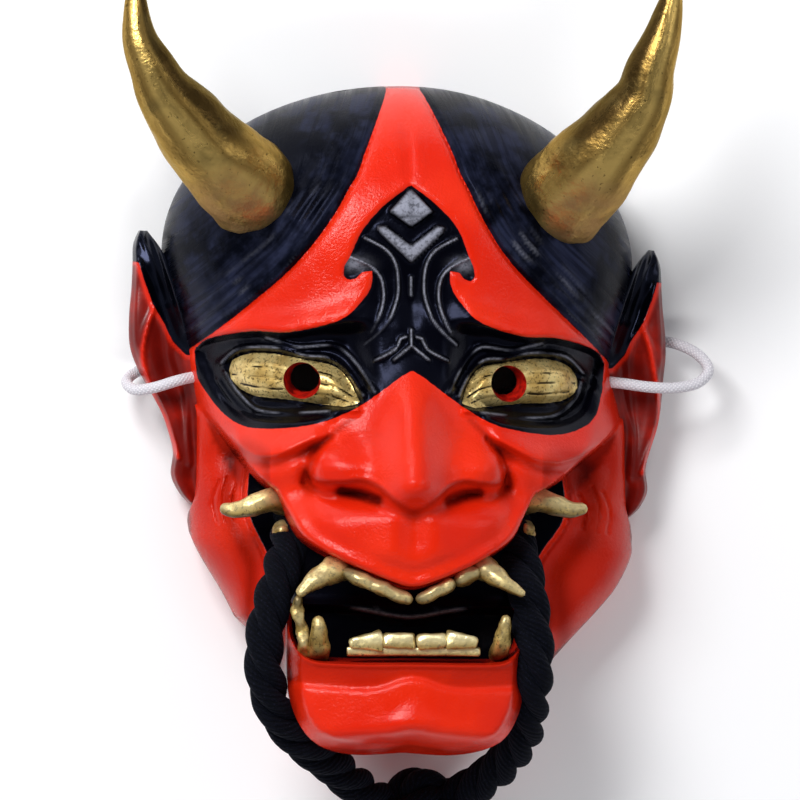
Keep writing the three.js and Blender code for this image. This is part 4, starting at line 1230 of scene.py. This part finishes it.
def horn(name, points, radii, seed, material):
    line = spline(points, 0.9, 0.5)
    length = length_of(line)
    knots = along_line(line, points)

    def radius_at(along, angle):
        plain = np.interp(along, knots, radii)
        dents = 0.03 * ripple(along * 0.8, 9 * np.cos(angle + seed), 17, seed)
        flats = 0.014 * np.sin(3 * angle + along * 0.05 + seed) + 0.006 * np.sin(11 * angle + along * 0.2)
        return plain * (1 + dents + flats) * closing(along + HORN_ROOT, length + HORN_ROOT, HORN_POINT)

    bm = bmesh.new()
    roll(bm, line, HORN_SIDES, radius_at)
    foot = np.array(points[1])

    def fields(at):
        nearest = nearest_index(at, line[::2]) * 2
        along = np.gradient(line, axis=0)[nearest]
        across = np.stack([along[:, 1], -along[:, 0]], axis=1) / np.hypot(along[:, 0], along[:, 1])[:, None]
        distance = nearest * length / (len(line) - 1)
        side = ((at - line[nearest])[:, :2] * across).sum(1) / np.interp(distance, knots, radii)
        inward = side * -math.copysign(1, points[0][0])
        near_foot = smooth(34, 12, np.linalg.norm(at - foot, axis=1))
        # Painted shade along the inner side and a little on the outer edge, less near the foot; a band just
        # outside the middle and the foot get painted highlight
        shade = smooth(0.05, 0.7, inward) * (1 - 0.7 * near_foot) + 0.4 * smooth(0.55, 1.0, -inward)
        return {"foot": near_foot * smooth(0.45, -0.3, inward), "along": distance * 0.055,
                "side": side * 3.2 + seed * 5, "shade": shade - bell(inward + 0.2, 0.3) - 0.4 * near_foot}

    piece = made_object(name, bm, [material], fields=fields)


def horns():
    gold = horn_gold()
    horn("horn_left", HORN_LEFT, HORN_LEFT_RADII, 0.4, gold)
    horn("horn_right", HORN_RIGHT, HORN_RIGHT_RADII, 2.2, gold)


horns()


# Ears

EAR_ROWS = np.array([
    (41, 86, 88.4, 15), (36, 82, 90.3, 17), (29, 78, 90.6, 19), (21, 74, 91, 20), (12, 70, 91.8, 21),
    (3, 68, 91.8, 21), (-6, 68, 90, 20), (-15, 68, 87, 19), (-25, 68, 83.4, 19), (-34, 68, 81, 19),
    (-42, 68, 81.6, 18), (-48, 68, 78.8, 17), (-51.5, 68, 75.4, 16)], float)
EAR_BLACK = np.array([(98, 31), (88.8, 30), (87, 24), (84, 16), (80, 9.6), (77.4, 4), (73, -0.5), (60, -1),
                      (60, 60), (98, 60)], float)
HELIX = spline([(83.6, 15), (86.6, 6), (88, -5), (86.4, -16), (82.4, -27), (79.6, -36)])
EAR_FOLD = spline([(77, 0), (75.6, -12), (76.4, -24), (75.4, -38)])
EAR_STEPS = (110, 34)
EAR_THICKNESS = 6.5
EAR_BACK_HEIGHT = 6.5
EAR_DENT = (80, -1, 3.4, 11)


def ear_material():
    f = Finish("ear_lacquer")
    black = f.painted("black", 0.15)
    # The ear's red is darkened by painted shade, less on its ridges, which stand lighter as painted
    # highlights
    shade = f.plus(f.attribute("wash"), f.plus(f.noise(9), -0.55))
    red = f.blend(f.ramp(shade, 0.0, 1.0), linear(216, 38, 16), linear(104, 14, 8))
    f.set("Base Color", f.blend(black, red, linear(2, 3, 7)))
    f.set("Roughness", f.between(black, 0.3, 0.2))
    f.set("Specular IOR Level", f.between(black, 0.34, 0.26))
    black_tint(f, black)
    f.set("Normal", f.relief(f.noise(1.15, 2), 0.05, 0.75))
    return f.material


def ear(side, word, material):
    rows, across = EAR_STEPS
    line = spline(EAR_ROWS, 0.6)
    at = np.linspace(0, 1, rows + 1)
    table = np.stack([np.interp(at, np.linspace(0, 1, len(line)), line[:, k]) for k in range(4)], axis=1)

    def surface(u, v, back):
        y, root, rim, height = (table[np.rint(v * rows).astype(int), k] for k in range(4))
        x = mix(root, rim, u)
        fold = mix(1.4, 4.6, smooth(31, 20, y))
        bowl = height + 7 * (1 - u) - fold * bell(u - 0.45, 0.26) - 3.2 * smooth(0.9, 1, u)
        bowl += 1.5 * by_line(HELIX, x, y, 1.0) + 1.3 * by_line(EAR_FOLD, x, y, 1.2)
        bowl += 1.1 * bell(depth(EAR_BLACK, x, y), 1.2) - 1.8 * bump(x, y, *EAR_DENT)
        bowl += 0.5 * np.sin(1.9 * (x - 0.32 * y)) * smooth(3, 9, depth(EAR_BLACK, x, y))
        z = np.where(back, np.maximum(bowl - EAR_THICKNESS, EAR_BACK_HEIGHT + 2 * (1 - u)), bowl)
        return np.stack([side * x, y, z], axis=1)

    bm = bmesh.new()
    borders = []
    for back in (False, True):
        verts = bmesh.ops.create_grid(bm, x_segments=across, y_segments=rows, size=0.5)["verts"]
        flat = places(verts) + 0.5
        place_points(verts, surface(flat[:, 0], flat[:, 1], back))
        borders += border_of(verts)
    bmesh.ops.bridge_loops(bm, edges=borders)

    def fields(points):
        ax = np.abs(points[:, 0])
        y = points[:, 1]
        # Painted shade over most of the ear, deeper in its bowls; the helix and the black's edge are left
        # lighter as painted highlights
        bowl = 0.3 * bump(ax, y, 80, -2, 4.6, 15) + 0.2 * bump(ax, y, 78, -36, 3, 12)
        ridges = 0.7 * by_line(HELIX, ax, y, 0.8) + 0.7 * bell(depth(EAR_BLACK, ax, y) + 0.6, 0.9)
        return {"black": depth(EAR_BLACK, ax, y), "wash": np.clip(0.84 + bowl - ridges, 0, 1)}

    piece = made_object("mask_ear_" + word, bm, [material], fields=fields, warped=True)


def ears():
    material = ear_material()
    for side, word in SIDES:
        ear(side, word, material)


ears()


# Teeth

EDGE_ROUND = 0.26
TOOTH_SWELL = 0.8
FANG_SIDES = 32
TOOTH_HEIGHT = 77.6

# Where each lower tooth stands, its width, turn and taper
LOWER_TEETH = ((-14.0, -95.7, 11.4, 0.07, 0.8), (-3.0, -95.3, 11.0, -0.02, 0.12),
               (8.2, -95.5, 10.4, 0.04, -0.1), (18.4, -95.4, 10.6, -0.08, -0.6))

# The line and the radii of each upper tooth
UPPER_TEETH = (
    ([(-21, -72, 80), (-17.6, -73.6, 83), (-9.1, -77.2, 84.2), (-3, -80, 84.2), (1.6, -81.6, 83.4)],
     [2.4, 3.1, 3.0, 2.9, 2.2]),
    ([(2.6, -81.6, 83.4), (5.6, -80.4, 84.2), (9.7, -78.4, 84.2), (16, -75.2, 83.2)], [2.1, 2.7, 2.9, 2.6]),
    ([(15.6, -75.8, 82.6), (20, -73.6, 82.4), (24.4, -71.6, 81)], [2.4, 2.9, 2.6]),
)

# Name, line, radii, seed and lumps of each tooth without a twin on the other side
LONE_TEETH = (
    ("tusk_lower_left", [(-29.8, -101, 62), (-29.9, -97, 76), (-30.2, -90, 80), (-30.3, -86.6, 80)],
     [3.8, 3.7, 2.5, 1.5], 2.3, 0.1),
    ("tusk_lower_right", [(31.6, -100.5, 62), (32, -97, 76), (33, -90, 80), (33.7, -86.4, 80)],
     [3.3, 3.1, 2.2, 1.2], 4.1, 0.1),
    ("molar_column", [(-36.8, -79.6, 77), (-37.2, -85.3, 76), (-35.6, -91.2, 75), (-34.9, -97, 74),
                      (-34, -100.6, 71)], [1.3, 2.1, 1.8, 2.3, 2.0], 1.3, 0.3),
)


def paired_teeth(base):
    """Teeth of both sides, drawn on the viewer's right: name, line, radii, seed, flatness and lumps"""
    return (
        ("fang", [(base - 4, -69.6, 72), (base, -71.2, 79), (32.4, -75.2, 82.6), (base + 12.6, -79.8, 84)],
         [4.9, 4.5, 2.9, 1.2], 1.1, 0.12, 0.09),
        ("tusk_cheek", [(39, -49, 52), (45.5, -47.6, 58), (52, -49.6, 59), (57.2, -51, 57),
                        (62.6, -50.4, 55)], [4.6, 4.1, 3.6, 2.8, 1.8], 0.7, 0.0, 0.05),
        ("molar", [(41.4, -57, 52), (42, -59.4, 61)], [3.4, 2.4], 1.9, 0.0, 0.2),
    )


def worn_block(name, at, size, turn, material, seed, taper=0.0):
    """A tooth plate: a block with worn edges, lumpy, and narrower towards one end when tapered"""
    bm = bmesh.new()
    bmesh.ops.create_cube(bm, size=1)
    bmesh.ops.scale(bm, vec=size, verts=bm.verts)
    bmesh.ops.bevel(bm, geom=list(bm.edges), offset=min(size) * EDGE_ROUND, offset_type="OFFSET", segments=2,
                    affect="EDGES", profile=0.5, material=-1, clamp_overlap=True)
    bmesh.ops.subdivide_edges(bm, edges=list(bm.edges), cuts=3, use_grid_fill=True)
    for vert in bm.verts:
        p = vert.co
        swell = TOOTH_SWELL * float(ripple(p.x + 3 * seed, p.y + p.z, 5.2, seed))
        vert.co += Vector((p.x / size[0], p.y / size[1], p.z / size[2])) * swell
        vert.co.y *= 1 + taper * p.x / size[0]
    bmesh.ops.smooth_vert(bm, verts=bm.verts, factor=0.5, use_axis_x=True, use_axis_y=True, use_axis_z=True)
    bmesh.ops.rotate(bm, cent=(0, 0, 0), verts=bm.verts, matrix=Matrix.Rotation(turn, 3, "Z"))
    bmesh.ops.translate(bm, vec=at, verts=bm.verts)

    def fields(points):
        up, out = ((points[:, k] - at[k]) / size[k] for k in (1, 2))
        line = 0.4 * smooth(0.5, 1.0, ripple(points[:, 0] + seed, points[:, 1] * 2, 6, seed))
        # Painted highlight towards the top front edge of the plate
        return {"line": line, "proud": smooth(-0.5, 0.45, up) * smooth(0.1, 0.45, out)}

    piece = made_object(name, bm, [material], fields=fields, sharp=80)


def fang(name, points, radii, material, seed, flat, lumps):
    line = spline(points, 0.5, 0.5)
    length = length_of(line)
    knots = along_line(line, points)

    def radius_at(along, angle):
        uneven = lumps * ripple(along, 5 * np.cos(angle + seed), 7, seed) + flat * np.cos(2 * angle + seed)
        grain = 0.02 * np.sin(7 * angle + 0.3 * along)
        return np.interp(along, knots, radii) * (1 + uneven + grain) * closing(along, length, radii[-1])

    def fields(at):
        index = nearest_index(at, line)
        off = (at - line[index]) / np.interp(index * length / (len(line) - 1), knots, radii)[:, None]
        # The upper front gets a painted highlight; the underside and the root get painted shade, mixed in
        # with random stains
        proud = 0.35 * smooth(0.3, 0.9, off @ (0.0, 0.6, 0.8))
        stain = 0.35 * smooth(0.6, 1.0, ripple(at[:, 0] + at[:, 1], at[:, 2], 7, seed))
        below = 0.62 * smooth(0.15, 0.85, off @ (0.0, -0.95, 0.1))
        root = 0.5 * smooth(0.45, 0.15, index / (len(line) - 1))
        return {"line": np.max([stain, below, root], axis=0), "proud": proud}

    bm = bmesh.new()
    roll(bm, line, FANG_SIDES, radius_at)
    piece = made_object(name, bm, [material], fields=fields, sharp=80)


def teeth():
    plate_gold = tooth_gold("tooth_gold", linear(164, 138, 72), linear(226, 202, 130))
    gold = tooth_gold("fang_gold", linear(142, 114, 54), linear(212, 182, 106))
    for index, (x, y, width, turn, taper) in enumerate(LOWER_TEETH):
        worn_block(f"tooth_lower_{index + 1}", (x, y, TOOTH_HEIGHT), (width, 5.4, 7.2), turn, plate_gold,
                   index + 0.3, taper)
    worn_block("gum_lower", (2.1, -98.9, 76.8), (45, 3.0, 5.4), 0.0, plate_gold, 0.8)
    for index, (points, radii) in enumerate(UPPER_TEETH):
        fang(f"tooth_upper_{index + 1}", points, radii, gold, index + 2.1, 0.2, 0.12)
    for side, word in SIDES:
        for name, points, radii, seed, flat, lumps in paired_teeth(25 if side < 0 else 27):
            line = [(side * x, y, z) for x, y, z in points]
            fang(f"{name}_{word}", line, radii, gold, side * seed, flat, lumps)
    for name, points, radii, seed, lumps in LONE_TEETH:
        fang(name, points, radii, gold, seed, 0.0, lumps)


teeth()


# Floor and light

FLOOR_SIZE = 60.0
RING_STRENGTH = 0.44
RING_COLOUR = (0.93, 0.95, 1.0, 1.0)


def stage():
    bm = bmesh.new()
    bmesh.ops.create_grid(bm, x_segments=1, y_segments=1, size=FLOOR_SIZE / 2)
    mesh = bpy.data.meshes.new("floor")
    bm.to_mesh(mesh)
    bm.free()
    mesh.materials.append(plain_floor())
    floor = added("floor", mesh)


def softbox(name, direction, distance, size, power):
    data = bpy.data.lights.new(name, "AREA")
    data.shape = "RECTANGLE"
    data.size, data.size_y = size
    data.energy = power
    light = added(name, data)
    away = Vector(direction).normalized()
    target = Vector(placed(VIEW_CENTRE))
    light.location = target + away * distance
    light.rotation_mode = "QUATERNION"
    light.rotation_quaternion = (-away).to_track_quat("-Z", "Y")
    light.visible_camera = False
    return light


def studio_world():
    """A pale ring round the set, darker at the horizon and overhead, where flat gloss would mirror it"""
    world = bpy.data.worlds.new("studio")
    world.use_nodes = True
    nodes, links = world.node_tree.nodes, world.node_tree.links
    split = nodes.new("ShaderNodeSeparateXYZ")
    links.new(nodes.new("ShaderNodeTexCoord").outputs["Generated"], split.inputs[0])
    shares = []
    for low, high, low_to, high_to in ((0.0, 0.4, 0.16, RING_STRENGTH), (0.78, 0.97, 1.0, 0.12)):
        share = nodes.new("ShaderNodeMapRange")
        for key, value in (("From Min", low), ("From Max", high), ("To Min", low_to), ("To Max", high_to)):
            share.inputs[key].default_value = value
        links.new(split.outputs["Z"], share.inputs["Value"])
        shares.append(share.outputs["Result"])
    product = nodes.new("ShaderNodeMath")
    product.operation = "MULTIPLY"
    links.new(shares[0], product.inputs[0])
    links.new(shares[1], product.inputs[1])
    background = nodes["Background"]
    background.inputs["Color"].default_value = RING_COLOUR
    links.new(product.outputs[0], background.inputs["Strength"])
    bpy.context.scene.world = world


def lights():
    softbox("softbox_key", (-0.5, 0.68, 1.0), 1.9, (0.75, 0.75), 31)
    softbox("softbox_left", (-0.9, 0.5, 0.6), 1.3, (0.25, 0.8), 1.1)
    softbox("softbox_right", (0.95, 0.42, 0.6), 1.3, (0.2, 0.8), 1.0)
    softbox("softbox_crown", (-0.46, 0.88, 0.12), 1.2, (0.35, 0.25), 1.7)
    fill = softbox("softbox_low", (0.15, -0.8, 1.0), 1.6, (0.9, 0.3), 5.6)
    fill.visible_glossy = False
    studio_world()
    bpy.context.scene.view_settings.view_transform = "Standard"


stage()
lights()
